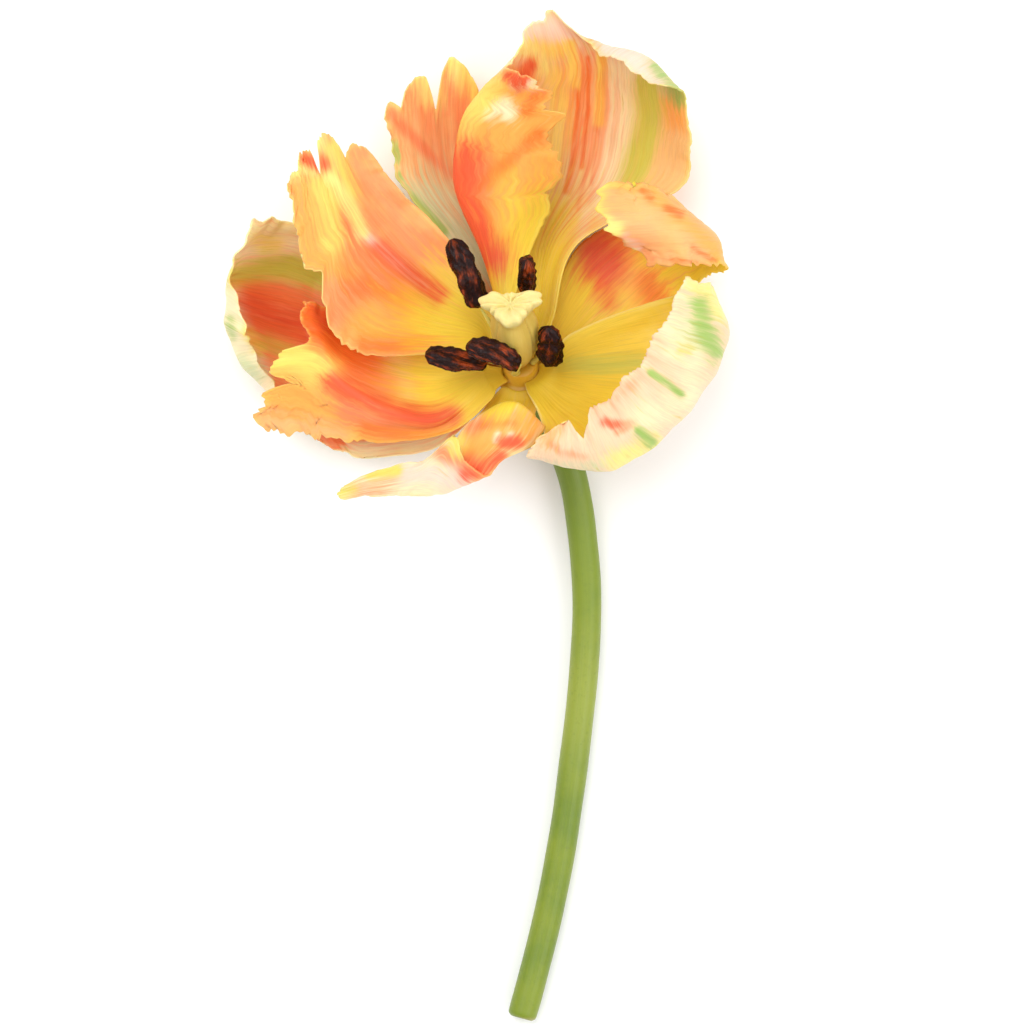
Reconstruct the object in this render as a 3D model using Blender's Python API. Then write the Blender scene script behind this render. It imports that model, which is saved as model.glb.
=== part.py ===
"""Parrot tulip: one cut flower with a long bare stem, lying on its side.

The flower is wide open. Eight ragged tepals stand in two whorls round a small receptacle,
with a pistil and six stamens in the middle. Every tepal is a thin sheet drawn through rows
of guide points, from its seat on the receptacle to its tip, and cut to a torn outline.
Guide points are in millimetres: x to the right, y from the cut end towards the bloom, z up.
"""
import math

import bpy
import numpy as np

MM = 0.001
SHEET = 0.72
FLOOR = SHEET / 2

STEM_RADIUS = 3.5
STEM_SIDES = 16
RECEPTACLE = np.array([11.0, 34.5, 17.0])
AXIS = np.array([-0.10, 0.60, 0.79])
AXIS = AXIS / np.linalg.norm(AXIS)
LEFTWARD = np.array([-1.0, 0.0, 0.0])
LEFTWARD = LEFTWARD - LEFTWARD.dot(AXIS) * AXIS
LEFTWARD = LEFTWARD / np.linalg.norm(LEFTWARD)
UPWARD = np.cross(LEFTWARD, AXIS)

# Each seat: radius and place along the axis of a tepal's foot, then of the collar it rests on
INNER_SEAT = (4.65, 1.1, 8.4, 2.2)
OUTER_SEAT = (5.9, 0.0, 8.8, -0.9)

# Each stem point is (x, y, z) of the centre line, from the cut end up to the receptacle
STEM_LINE = [
    (11.0, -121.0, 3.5), (13.5, -112.0, 3.5), (17.5, -96.0, 3.5), (21.0, -78.0, 3.6), (23.8, -58.0, 4.0),
    (26.0, -38.0, 4.6), (26.8, -20.0, 5.0), (25.6, -4.0, 5.4), (23.4, 9.0, 6.2), (19.6, 19.0, 8.0),
    (15.4, 26.0, 10.6), (12.6, 30.4, 13.4),
]

# Each tepal: seat, centre angle and half span in degrees round the axis, measured from straight
# up the bloom towards its left. Its rows of guide points run from foot to tip, each row from
# the side with the larger angle. "end" gives how far the tepal reaches at shares across it,
# "first" and "last" how far its two side margins are cut in at shares along it.
TEPALS = {
    "tepal_top": {
        "colour": (0.9, 0.48, 0.1),
        "seat": (INNER_SEAT, -8, 30),
        "rows": [
            [(8.8, 50.4, 16.0), (7.0, 50, 15.5), (6.2, 49.5, 13.5), (9, 50, 9.6),
             (12, 50, 8.4), (15, 49.5, 9.0), (17.2, 48.5, 11.5), (18.6, 47.0, 14)],
            [(14.0, 65.5, 12.0), (6.6, 64.2, 15.4), (1.4, 63.5, 12.4), (5.5, 65, 5.8),
             (12.5, 66, 3.6), (18, 65.6, 4.0), (22, 65, 8.0), (24.6, 65.6, 12.4)],
            [(21.5, 80, 14), (8.5, 78.4, 19.5), (-4.8, 79, 14), (5.5, 81, 5.4),
             (16.5, 82, 1.2), (28, 82, -0.6), (39, 80, 6), (48.5, 78.3, 16)],
            [(21.5, 92, 20), (8, 91, 25), (-3.2, 94, 18), (6.5, 96, 8.6),
             (18.5, 97, 3.6), (31, 98, 2.6), (43, 94, 11), (52.3, 88.5, 22)],
            [(21, 100, 26), (11, 99, 30), (2.0, 102, 24), (10.5, 105.5, 16.5),
             (20.5, 107, 11.5), (31, 108, 10.5), (42, 104.5, 18), (50.4, 99.5, 28)],
            [(16.5, 103.5, 33), (10.5, 103, 35.5), (6.0, 105.5, 30.5), (11.5, 111, 25),
             (19, 113.5, 20), (29, 113.5, 18.5), (41.5, 109.2, 25), (49, 101.5, 34)],
            [(13.5, 105.5, 38), (10, 106, 39), (8.4, 108, 36), (11.6, 114, 32),
             (16, 121.8, 33), (26, 113.0, 26), (36, 106.8, 32), (44.8, 102.4, 38)],
        ],
        "end": [(0, 0.97), (0.2, 1), (0.45, 0.99), (0.51, 0.975), (0.57, 1.01), (0.64, 0.965), (0.74, 0.99), (1, 1)],
        "first": [(0, 0), (0.42, 0), (0.5, 0.03), (0.56, 0), (0.62, 0.015), (0.7, 0.035), (0.76, -0.01),
                  (0.8, 0.06), (0.87, 0.01), (0.93, 0.04), (1, 0)],
        "last": [(0, 0), (0.55, 0), (0.63, 0.012), (0.7, 0), (0.77, 0.012), (0.84, 0), (0.92, 0.012), (1, 0)],
        "wave": (0.5, 4, 5),
        "cells": (20, 17),
    },
    "tepal_top_left": {
        "colour": (0.86, 0.5, 0.22),
        "seat": (OUTER_SEAT, 22, 27),
        "rows": [
            [(1.6, 50, 9.4), (4.5, 52.5, 6.6), (8, 53.5, 5.2), (11.5, 52, 5.6)],
            [(-8, 67, 8), (-3, 67, 4.2), (3, 67, 2.0), (8.5, 66, 1.4)],
            [(-18.4, 79.5, 9), (-12, 80, 4), (-5, 80, 0.6), (2, 79, -0.4)],
            [(-20.6, 89, 13), (-14.5, 92.5, 8), (-7.5, 94, 4.5), (0.5, 93, 3.6)],
            [(-22.4, 97, 19), (-14.6, 106, 15), (-6.6, 110.5, 13.6), (1.0, 108, 13)],
        ],
        "end": [(0, 0.97), (0.08, 1), (0.17, 0.93), (0.25, 0.97), (0.38, 0.985), (0.47, 0.97), (0.55, 0.9),
                (0.6, 0.84), (0.64, 0.95), (0.72, 1), (0.86, 0.985), (1, 0.93)],
        "first": [(0, 0), (0.5, 0), (0.6, 0.02), (0.66, 0.0), (0.73, 0.045), (0.78, 0.02), (0.86, 0.035),
                  (0.93, 0), (1, 0)],
        "last": [(0, 0), (1, 0)],
        "wave": (0.4, 3, 3),
        "cells": (11, 12),
    },
    "tepal_upper_left": {
        "colour": (0.9, 0.45, 0.16),
        "seat": (INNER_SEAT, 52, 24),
        "rows": [
            [(0.4, 39.4, 20), (0.2, 43.0, 16), (1.0, 46.5, 12.6), (2.8, 49, 11.6), (4.3, 50.8, 12.6)],
            [(-13, 38.5, 23), (-12, 45, 17), (-9.5, 52.5, 11.5), (-6, 58, 9.5), (-2.4, 61.5, 11.5)],
            [(-26.5, 37.8, 30), (-23, 48, 23), (-19, 60, 15), (-14.5, 66, 11), (-9, 69.3, 12.5)],
            [(-35.6, 46, 33), (-31.5, 57, 27), (-27, 68.5, 20), (-22, 74, 14), (-16.3, 76.3, 14)],
            [(-41.5, 62, 31), (-37, 70, 28), (-32, 77.5, 25), (-27.5, 80.5, 18.5), (-21.2, 82, 16.5)],
            [(-45.2, 79, 30), (-41.5, 88, 29), (-36.5, 92, 27), (-32, 92.5, 23), (-26.4, 89, 19.5)],
        ],
        "end": [(0, 1), (0.1, 1), (0.17, 0.98), (0.25, 1), (0.36, 0.99), (0.44, 0.9), (0.5, 0.98), (0.58, 1),
                (0.66, 0.985), (0.73, 0.91), (0.79, 0.9), (0.86, 0.96), (1, 0.97)],
        "first": [(0, 0), (0.3, 0), (0.45, 0.02), (0.55, 0), (0.64, -0.01), (0.68, 0.02), (0.725, 0.14),
                  (0.79, -0.045), (0.84, 0.02), (0.9, -0.02), (0.95, 0.04), (0.98, 0), (1, 0)],
        "last": [(0, 0), (1, 0)],
        "wave": (0.7, 4, 4),
        "cells": (14, 15),
    },
    "tepal_far_left": {
        "colour": (0.82, 0.42, 0.1),
        "seat": (OUTER_SEAT, 88, 29),
        "rows": [
            [(1.0, 25.5, 15.5), (-2.5, 30, 14), (-4.5, 36, 12.5), (-3.5, 41, 11.0), (-1.5, 46.5, 10)],
            [(-10, 16.0, 11.5), (-17, 27, 8), (-19, 39, 4.6), (-17, 48, 3.6), (-14, 56, 4.5)],
            [(-27, 14.0, 9.5), (-32, 28, 3.2), (-34, 42, -0.4), (-32, 55, -0.4), (-28, 64, 3.4)],
            [(-33, 15.4, 9.5), (-46, 33, 6), (-48.5, 46, 4), (-46.5, 61, 5), (-41, 70.3, 9)],
            [(-39, 18.8, 9.6), (-56.6, 37.5, 12.5), (-59.6, 50, 15.5), (-57, 60.5, 16), (-49, 71.8, 17)],
            [(-44, 21.5, 11.5), (-52, 38.6, 19.5), (-55, 46, 26), (-58.5, 58.5, 25), (-53, 71.3, 23)],
        ],
        "end": [(0, 1), (0.25, 1), (0.38, 0.98), (0.5, 1), (0.6, 0.985), (0.72, 1), (0.8, 0.98), (0.88, 1), (1, 1)],
        "first": [(0, 0), (0.45, 0), (0.55, -0.02), (0.62, 0.02), (0.75, 0), (1, 0)],
        "last": [(0, 0), (0.7, 0), (0.8, 0.02), (0.88, 0), (0.94, 0.02), (1, 0)],
        "wave": (0.5, 4, 4),
        "cells": (13, 12),
    },
    "tepal_lower_left": {
        "colour": (0.92, 0.44, 0.1),
        "seat": (INNER_SEAT, 110, 28),
        "rows": [
            [(3.5, 27.5, 24), (2.2, 29.4, 22.2), (1.2, 31.5, 20.6), (0.2, 35, 18.4), (0.6, 39.2, 17.4)],
            [(-5, 20.5, 22), (-8, 21.6, 21.5), (-9, 24, 22), (-12, 35, 15.5), (-10, 43.5, 15.5)],
            [(-18, 17.6, 21), (-20, 21, 22.5), (-20, 25.5, 25), (-23, 37, 17.5), (-21, 46, 18.5)],
            [(-32, 17.6, 20), (-33, 24.5, 23), (-31, 31, 29), (-32, 40, 22), (-31, 48.6, 22)],
            [(-43.5, 18.5, 18.5), (-43.5, 29.5, 23), (-38.5, 37, 29), (-38, 45, 29), (-38, 51, 28)],
            [(-53.6, 20, 17.5), (-54, 29.5, 23), (-48.6, 37.0, 29), (-42.5, 46.5, 34), (-41.5, 51.5, 32)],
        ],
        "end": [(0, 0.98), (0.08, 1), (0.14, 0.95), (0.2, 0.97), (0.26, 0.89), (0.34, 0.98), (0.42, 1), (0.52, 0.99),
                (0.6, 0.9), (0.7, 0.93), (0.8, 1), (0.9, 1), (1, 0.97)],
        "first": [(0, 0), (0.4, 0), (0.5, 0.012), (0.57, -0.01), (0.62, 0.02), (0.68, 0), (0.74, 0.03), (0.8, -0.01),
                  (0.85, 0.03), (0.91, 0), (0.95, 0.02), (1, 0)],
        "last": [(0, 0), (1, 0)],
        "wave": (0.4, 4, 4),
        "cells": (15, 14),
    },
    "tepal_bottom": {
        "colour": (0.9, 0.55, 0.28),
        "seat": (OUTER_SEAT, 173, 41),
        "rows": [
            [(14.4, 24.8, 25.3), (8.8, 24.4, 25.2), (1.8, 25.3, 21.8)],
            [(15.0, 22.6, 29.5), (8.8, 25.6, 30.5), (-0.6, 22.8, 28)],
            [(17.0, 21.0, 33), (8.6, 27.0, 35), (-1.8, 22.2, 31.5)],
            [(16.0, 18.4, 34.4), (6.8, 23.6, 38.4), (-3.8, 19.6, 34.5)],
            [(12.8, 16.0, 35.4), (3.4, 18.0, 39.4), (-5.0, 16.6, 36.4)],
            [(7.2, 13.2, 36.4), (-0.6, 12.4, 37.6), (-6.4, 10.6, 35)],
            [(2.6, 9.8, 37.5), (-3.8, 6.8, 36), (-8.5, 5.5, 33)],
            [(-2.6, 13.6, 43.8), (-7.2, 9.2, 41.6), (-11.5, 4.9, 36.8)],
            [(-5.0, 19.0, 43.0), (-10.6, 10.6, 40), (-15, 4.8, 35)],
            [(-11.4, 14.0, 37.5), (-15.6, 9.0, 36.6), (-18.6, 4.8, 33)],
            [(-19, 12.4, 33), (-21, 8, 32.5), (-22.6, 4.7, 30)],
            [(-25.5, 10.2, 28.5), (-26, 7, 29.6), (-26.8, 4.7, 28)],
            [(-31.2, 7.0, 26), (-33.0, 5.2, 26), (-31.4, 3.9, 26)],
        ],
        "end": [(0, 1), (1, 1)],
        "first": [(0, 0), (0.2, 0), (0.28, 0.04), (0.34, 0), (0.42, 0.05), (0.5, 0), (0.6, 0), (0.66, -0.1),
                  (0.72, 0.08), (0.8, 0), (0.86, 0.08), (0.92, 0), (1, 0)],
        "last": [(0, 0), (1, 0)],
        "wave": (0.35, 5, 0),
        "cells": (7, 26),
    },
    "tepal_right": {
        "colour": (0.87, 0.72, 0.48),
        "seat": (INNER_SEAT, -122, 46),
        "rows": [
            [(22.5, 43.5, 15), (24.6, 38, 16), (24.2, 30.6, 20), (20, 25.8, 24), (14.8, 25.2, 28)],
            [(38, 50, 13), (42, 41, 12.5), (39.5, 28, 16.5), (29, 18.5, 23), (16.6, 19.4, 28.4)],
            [(52, 54, 20), (57.5, 43, 19), (49.5, 27, 22), (33, 14.0, 27), (15, 15, 30)],
            [(56, 55, 29), (60, 43, 31), (51, 25.5, 33), (33, 11.4, 34.5), (12.4, 14.2, 33.5)],
            [(54.5, 56.5, 37), (54, 46, 42), (45, 28, 42.5), (30, 15.5, 41), (12.8, 15.8, 37.5)],
            [(50, 57.5, 38), (45, 48, 43), (36.5, 35, 42.5), (26, 25, 40), (16.6, 20.4, 38.5)],
        ],
        "end": [(0, 0.99), (0.1, 1), (0.2, 0.985), (0.3, 1), (0.42, 0.98), (0.5, 1), (0.6, 0.985), (0.72, 1),
                (0.8, 0.93), (0.86, 1.02), (0.93, 1), (1, 0.96)],
        "first": [(0, 0), (0.6, 0), (0.7, 0.02), (0.8, 0), (0.9, 0.02), (1, 0)],
        "last": [(0, 0), (1, 0)],
        "wave": (0.4, 3, 4),
        "cells": (14, 14),
    },
    "tepal_upper_right": {
        "colour": (0.88, 0.5, 0.16),
        "seat": (OUTER_SEAT, -62, 36),
        "rows": [
            [(16.4, 47, 8.0), (22, 43, 8.6), (25.5, 36.8, 11.6)],
            [(23.6, 63.5, 2.0), (32.5, 55, 1.6), (38.5, 43.5, 6)],
            [(32.5, 70, 5.6), (43, 63.5, 4.6), (48.5, 52, 8.5)],
            [(42, 72, 17), (52, 66.5, 15), (56.5, 57.5, 17)],
            [(45.5, 76.5, 30), (56.5, 68, 28), (60, 59, 28)],
            [(37, 80.5, 38), (46, 69, 39), (51, 59.5, 36)],
            [(26.2, 78.5, 35), (30.5, 68.3, 36), (41.5, 59.8, 32)],
        ],
        "end": [(0, 0.94), (0.06, 0.98), (0.13, 0.97), (0.25, 1), (0.38, 0.98), (0.5, 1), (0.62, 0.975), (0.75, 1), (0.88, 0.98), (1, 1)],
        "first": [(0, 0), (0.5, 0), (0.6, 0.02), (0.68, -0.02), (0.76, 0.02), (0.84, 0), (0.92, 0.03), (1, 0)],
        "last": [(0, 0), (0.62, 0), (0.66, -0.04), (0.72, 0.02), (0.8, 0), (1, 0)],
        "wave": (0.5, 3, 2),
        "cells": (12, 16),
    },
}


def spline_weights(t, count):
    """Catmull-Rom weights of each of count evenly numbered points at the places t."""
    low = np.clip(np.floor(t).astype(int), 0, count - 2)
    f = t - low
    pieces = [
        -0.5 * f ** 3 + f ** 2 - 0.5 * f,
        1.5 * f ** 3 - 2.5 * f ** 2 + 1,
        -1.5 * f ** 3 + 2 * f ** 2 + 0.5 * f,
        0.5 * f ** 3 - 0.5 * f ** 2,
    ]
    weights = np.zeros((len(t), count + 2))
    rows = np.arange(len(t))
    for step, piece in enumerate(pieces):
        np.add.at(weights, (rows, low + step), piece)
    # a point beyond each end, mirrored through it
    inner = weights[:, 1:-1].copy()
    inner[:, 0] += 2 * weights[:, 0]
    inner[:, 1] -= weights[:, 0]
    inner[:, -1] += 2 * weights[:, -1]
    inner[:, -2] -= weights[:, -1]
    return inner


def ring(angle, radius, along):
    """Point round the flower's axis, at angle degrees from straight up towards the left."""
    turn = math.radians(angle)
    outward = math.cos(turn) * UPWARD + math.sin(turn) * LEFTWARD
    return RECEPTACLE + radius * outward + along * AXIS


def guide_net(tepal):
    """Guide points as an array, rows by columns by 3, with foot and collar as the first rows."""
    (foot, foot_along, collar, collar_along), centre, half = tepal["seat"]
    angles = np.linspace(centre + half, centre - half, len(tepal["rows"][0]))
    first = [ring(angle, foot, foot_along) for angle in angles]
    second = [ring(angle, collar, collar_along) for angle in angles]
    return np.array([first, second] + tepal["rows"], dtype=float)


def length_share(net, axis):
    """Share of the net's length that lies before each of its rows or columns."""
    steps = np.linalg.norm(np.diff(net, axis=axis), axis=2).mean(axis=1 - axis)
    lengths = np.concatenate([[0], np.cumsum(steps)])
    return lengths / lengths[-1]


def sheet_points(net, u, v):
    """Points of the middle sheet at shares u across and v along."""
    row_share = length_share(net, 0)
    column_share = length_share(net, 1)
    along = spline_weights(np.interp(v, row_share, np.arange(len(row_share))), len(row_share))
    across = spline_weights(np.interp(u, column_share, np.arange(len(column_share))), len(column_share))
    return np.einsum("nr,nc,rcd->nd", along, across, net)


def even_and_corners(count, corners):
    """Evenly spaced shares, moved or joined so that every corner of an outline is among them."""
    places = sorted({round(c, 4) for c in corners})
    for share in np.linspace(0, 1, count + 1):
        if min(abs(share - p) for p in places) > 0.55 / count:
            places.append(share)
    return np.array(sorted(places))


def outline(points, share):
    xs = [p[0] for p in points]
    ys = [p[1] for p in points]
    return np.interp(share, xs, ys)


def grid_normals(points):
    """Unit normals of a grid of points, on the outer side of the tepal."""
    du = np.gradient(points, axis=0)
    dv = np.gradient(points, axis=1)
    normals = np.cross(dv, du)
    return normals / np.linalg.norm(normals, axis=2, keepdims=True)


def tepal_sheet(tepal):
    """Grid of middle points, across by along, with the torn outline and the waves in it."""
    net = guide_net(tepal)
    across, along = tepal["cells"]
    u = even_and_corners(across, [p[0] for p in tepal["end"]])
    v = even_and_corners(along, [p[0] for p in tepal["first"] + tepal["last"]])
    uu, vv = np.meshgrid(u, v, indexing="ij")
    first = outline(tepal["first"], vv)
    last = outline(tepal["last"], vv)
    u_cut = uu + first * (1 - uu) ** 3 - last * uu ** 3
    v_cut = vv - (1 - outline(tepal["end"], uu)) * vv ** 3
    points = sheet_points(net, u_cut.ravel(), v_cut.ravel()).reshape(uu.shape + (3,))
    height, side_waves, end_waves = tepal["wave"]
    side = np.clip(1 - np.minimum(uu, 1 - uu) * 5, 0, 1) ** 2 * np.clip((vv - 0.3) * 3, 0, 1)
    end = np.clip((vv - 0.8) / 0.2, 0, 1) ** 2
    swell = side * (1 - end) * np.sin(2 * math.pi * side_waves * vv)
    swell = swell + end * np.sin(2 * math.pi * end_waves * uu + 1)
    points = points + height * swell[..., None] * grid_normals(points)
    points[..., 2] = np.maximum(points[..., 2], FLOOR)
    return points


def sheet_solid(points, thickness):
    """Vertices and triangles of a closed sheet round a grid of middle points."""
    across, along = points.shape[:2]
    offset = grid_normals(points) * thickness / 2
    outer = (points + offset).reshape(-1, 3)
    inner = (points - offset).reshape(-1, 3)
    outer[:, 2] = np.maximum(outer[:, 2], 0)
    inner[:, 2] = np.maximum(inner[:, 2], 0)
    total = across * along

    def number(i, j):
        return i * along + j

    triangles = []
    for i in range(across - 1):
        for j in range(along - 1):
            a, b = number(i, j), number(i + 1, j)
            c, d = number(i + 1, j + 1), number(i, j + 1)
            triangles += [(a, c, b), (a, d, c)]
            triangles += [(a + total, b + total, c + total), (a + total, c + total, d + total)]
    rim = [number(i, 0) for i in range(across)]
    rim += [number(across - 1, j) for j in range(1, along)]
    rim += [number(i, along - 1) for i in range(across - 2, -1, -1)]
    rim += [number(0, j) for j in range(along - 2, 0, -1)]
    for k, a in enumerate(rim):
        b = rim[(k + 1) % len(rim)]
        triangles += [(a, b, b + total), (a, b + total, a + total)]
    return np.vstack([outer, inner]), triangles


def tube_solid(centres, widths, depths, sides, twist=0.0, tilt=None):
    """Closed tube through centres, oval in section; tilt fixes the way the first side faces."""
    centres = np.array(centres, dtype=float)
    tangents = np.gradient(centres, axis=0)
    tangents /= np.linalg.norm(tangents, axis=1, keepdims=True)
    side = np.array([1.0, 0.0, 0.0]) if tilt is None else np.array(tilt, dtype=float)
    vertices = []
    for k, (centre, tangent) in enumerate(zip(centres, tangents)):
        side = side - side.dot(tangent) * tangent
        side = side / np.linalg.norm(side)
        other = np.cross(tangent, side)
        for s in range(sides):
            turn = 2 * math.pi * s / sides + twist * k / (len(centres) - 1)
            spread = widths[k] * math.cos(turn) * side + depths[k] * math.sin(turn) * other
            vertices.append(centre + spread)
    vertices.append(centres[0])
    vertices.append(centres[-1])
    return np.array(vertices), tube_triangles(len(centres), sides)


def tube_triangles(rings, sides):
    """Walls between the rings, then a fan at each end; the two end centres come last."""
    triangles = []
    for k in range(rings - 1):
        for s in range(sides):
            a = k * sides + s
            b = k * sides + (s + 1) % sides
            triangles += [(a, b, b + sides), (a, b + sides, a + sides)]
    first = rings * sides
    last_ring = (rings - 1) * sides
    for s in range(sides):
        after = (s + 1) % sides
        triangles.append((first, after, s))
        triangles.append((first + 1, last_ring + s, last_ring + after))
    return triangles


def stem_solid():
    """Stem and receptacle in one: a bent rod that ends in a flange and a domed post."""
    line = np.array([list(p) for p in STEM_LINE])
    t = np.linspace(0, len(line) - 1, 27)
    centres = list(spline_weights(t, len(line)) @ line)
    radii = [STEM_RADIUS] * len(centres)
    radii[0] = STEM_RADIUS - 0.25
    # radius and place along the axis of the receptacle's own rings
    head = [(3.6, -3.6), (4.6, -2.2), (6.0, -1.4), (6.1, -0.8), (4.4, -0.65), (4.1, -0.3), (4.1, 2.8), (3.8, 3.25)]
    for radius, along in head:
        centres.append(RECEPTACLE + along * AXIS)
        radii.append(radius)
    vertices, triangles = tube_solid(centres, radii, radii, STEM_SIDES)
    vertices[:, 2] = np.maximum(vertices[:, 2], 0)
    return vertices, triangles


# Each stamen: angle of its seat, then the lower end, middle and upper end of its anther
STAMENS = {
    "upper_left": (45, [(1.2, 50.0, 22.5), (-2.2, 58.2, 25.0), (-5.8, 66.2, 26.0)]),
    "top": (-40, [(12.6, 54.0, 21.0), (12.4, 57.6, 26.0), (12.2, 61.4, 31.0)]),
    "right": (-95, [(17.4, 36.2, 26.0), (18.0, 40.5, 30.0), (17.2, 45.2, 34.0)]),
    "left": (105, [(2.8, 37.4, 26.0), (-4.4, 37.2, 28.4), (-12.0, 38.6, 29.6)]),
    "front": (168, [(10.6, 36.2, 34.6), (5.2, 38.8, 37.4), (-2.2, 40.6, 36.4)]),
    "hidden": (2, [(9.8, 45.6, 20.0), (9.6, 48.4, 22.2), (8.8, 51.2, 24.6)]),
}
ANTHER_HALF_WIDTH = 3.0
ANTHER_HALF_DEPTH = 1.9
FILAMENT_RADIUS = 0.7
FILAMENT_SEAT = (3.0, 3.75)

# Pistil rings: place along the axis, radius, how deep the three lobes are cut, and height to width
PISTIL_RINGS = [
    (3.6, 1.6, 0.0, 1.0), (4.2, 2.0, 0.02, 1.0), (6.0, 3.3, 0.05, 1.0), (9.0, 4.7, 0.07, 1.0),
    (13.0, 5.5, 0.08, 1.0), (17.0, 5.6, 0.08, 1.0), (20.0, 5.1, 0.1, 0.95), (22.4, 4.6, 0.14, 0.9),
    (24.0, 5.2, 0.22, 0.8), (25.2, 6.3, 0.26, 0.7), (26.4, 6.6, 0.26, 0.66), (27.2, 5.5, 0.24, 0.66),
    (27.0, 3.4, 0.16, 0.7), (26.6, 1.4, 0.0, 1.0),
]
PISTIL_SIDES = 24


def anther_solid(ends):
    """Plump ridged bar through three points, pinched at its ends and slightly twisted."""
    line = np.array(ends, dtype=float)
    centres = spline_weights(np.linspace(0, 2, 9), 3) @ line
    swell = [0.35, 0.8, 0.95, 1.0, 0.92, 1.0, 0.9, 0.75, 0.3]
    widths = [ANTHER_HALF_WIDTH * s for s in swell]
    depths = [ANTHER_HALF_DEPTH * s for s in swell]
    return tube_solid(centres, widths, depths, 10, twist=0.8, tilt=np.cross(line[2] - line[0], AXIS))


def filament_solid(angle, anther):
    """Thin stalk from the domed post to just below the lower end of its anther."""
    lower = np.array(anther[0], dtype=float)
    upward = np.array(anther[1], dtype=float) - lower
    top = lower - 1.05 * upward / np.linalg.norm(upward)
    radius, along = FILAMENT_SEAT
    bend = ring(angle, radius + 2.4, along + 2.6)
    line = np.array([ring(angle, radius, along), bend, 0.5 * (bend + top), top])
    centres = spline_weights(np.linspace(0, 3, 9), 4) @ line
    radii = [FILAMENT_RADIUS] * 8 + [FILAMENT_RADIUS * 0.6]
    return tube_solid(centres, radii, radii, 7, tilt=LEFTWARD)


def pistil_solid():
    """Three-sided ovary with a spreading three-lobed stigma on top."""
    vertices = []
    for along, radius, lobing, flat in PISTIL_RINGS:
        for s in range(PISTIL_SIDES):
            turn = 2 * math.pi * s / PISTIL_SIDES
            reach = radius * (1 + lobing * math.cos(3 * turn + math.pi))
            outward = reach * (flat * math.cos(turn) * UPWARD + math.sin(turn) * LEFTWARD)
            vertices.append(RECEPTACLE + outward + along * AXIS)
    triangles = tube_triangles(len(PISTIL_RINGS), PISTIL_SIDES)
    vertices.append(ring(0, 0, PISTIL_RINGS[0][0]))
    vertices.append(ring(0, 0, PISTIL_RINGS[-1][0] - 0.2))
    return np.array(vertices), triangles


def flower_pieces():
    """Every piece by name: vertices in millimetres, triangles and colour."""
    pieces = {"stem": (*stem_solid(), (0.36, 0.46, 0.09))}
    for name, tepal in TEPALS.items():
        pieces[name] = (*sheet_solid(tepal_sheet(tepal), SHEET), tepal["colour"])
    pieces["pistil"] = (*pistil_solid(), (0.66, 0.58, 0.24))
    for place, (angle, anther) in STAMENS.items():
        pieces["filament_" + place] = (*filament_solid(angle, anther), (0.55, 0.5, 0.2))
        pieces["anther_" + place] = (*anther_solid(anther), (0.06, 0.025, 0.02))
    return pieces


def main():
    for old in list(bpy.data.objects):
        bpy.data.objects.remove(old, do_unlink=True)
    pieces = flower_pieces()
    every = np.vstack([vertices for vertices, _, _ in pieces.values()])
    middle = (every.min(axis=0) + every.max(axis=0)) / 2
    middle[2] = 0
    for name, (vertices, triangles, colour) in pieces.items():
        add_object(name, vertices - middle, triangles, colour)


def add_object(name, vertices, triangles, colour):
    """One named object, in metres, with its own material."""
    mesh = bpy.data.meshes.new(name)
    mesh.from_pydata([tuple(float(c) * MM for c in p) for p in vertices], [], triangles)
    mesh.update()
    material = bpy.data.materials.new(name)
    material.use_nodes = True
    shader = material.node_tree.nodes["Principled BSDF"]
    shader.inputs["Base Color"].default_value = (*colour, 1)
    shader.inputs["Roughness"].default_value = 0.5
    mesh.materials.append(material)
    thing = bpy.data.objects.new(name, mesh)
    bpy.context.scene.collection.objects.link(thing)
    return thing


main()
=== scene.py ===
"""Looks of the parrot tulip: finely cut and ruffled tepals, stamens, pistil and stem.

Every tepal is drawn again on a fine grid through the same guide points as its solid, then given
a fringed margin, ruffles and veins. Its colours are listed strokes that the material
breaks into streaks along the veins. Lengths are in millimetres until a mesh is made.
"""
import math

import bpy
import numpy as np
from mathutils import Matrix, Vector

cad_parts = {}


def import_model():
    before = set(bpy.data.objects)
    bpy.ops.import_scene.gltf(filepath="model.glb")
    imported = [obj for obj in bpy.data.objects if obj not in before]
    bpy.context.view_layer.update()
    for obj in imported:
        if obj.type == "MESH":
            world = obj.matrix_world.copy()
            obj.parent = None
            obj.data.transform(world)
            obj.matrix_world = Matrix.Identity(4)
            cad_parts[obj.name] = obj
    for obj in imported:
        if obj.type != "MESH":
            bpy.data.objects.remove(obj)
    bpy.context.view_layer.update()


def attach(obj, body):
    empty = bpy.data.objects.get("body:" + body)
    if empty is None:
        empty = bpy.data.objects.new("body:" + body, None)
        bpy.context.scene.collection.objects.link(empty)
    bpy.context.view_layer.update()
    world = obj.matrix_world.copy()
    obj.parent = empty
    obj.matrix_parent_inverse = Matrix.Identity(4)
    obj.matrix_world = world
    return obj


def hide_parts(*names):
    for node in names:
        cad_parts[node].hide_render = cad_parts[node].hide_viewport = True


MM = 0.001
# The middle of the whole flower in guide millimetres, which stands at the origin of the frame
MIDDLE = np.array([0.4937, -0.5257, 0.0])

# The photograph looks straight down on the flower: millimetres across its width, and its centre
PHOTO_WIDTH = 245.76
PHOTO_CENTRE = (8.27, 1.41)
# Height of the camera, and the height in the bloom at which that width was measured
CAMERA_HEIGHT = 4000.0
BLOOM_HEIGHT = 18.0
SENSOR_WIDTH = 36.0

# Studio floor in metres: its side, and how far it lies below the flower so that they don't touch
STUDIO_SIZE = 12.0
STUDIO_DROP = 0.0004

# A tepal's sheet thins from its middle to its margin, and its middle stays above FLOOR
THICK = 0.72
THIN = 0.34
FLOOR = THICK / 2
# Size of a cell of the tepals' fine grid
CELL = 0.62

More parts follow.
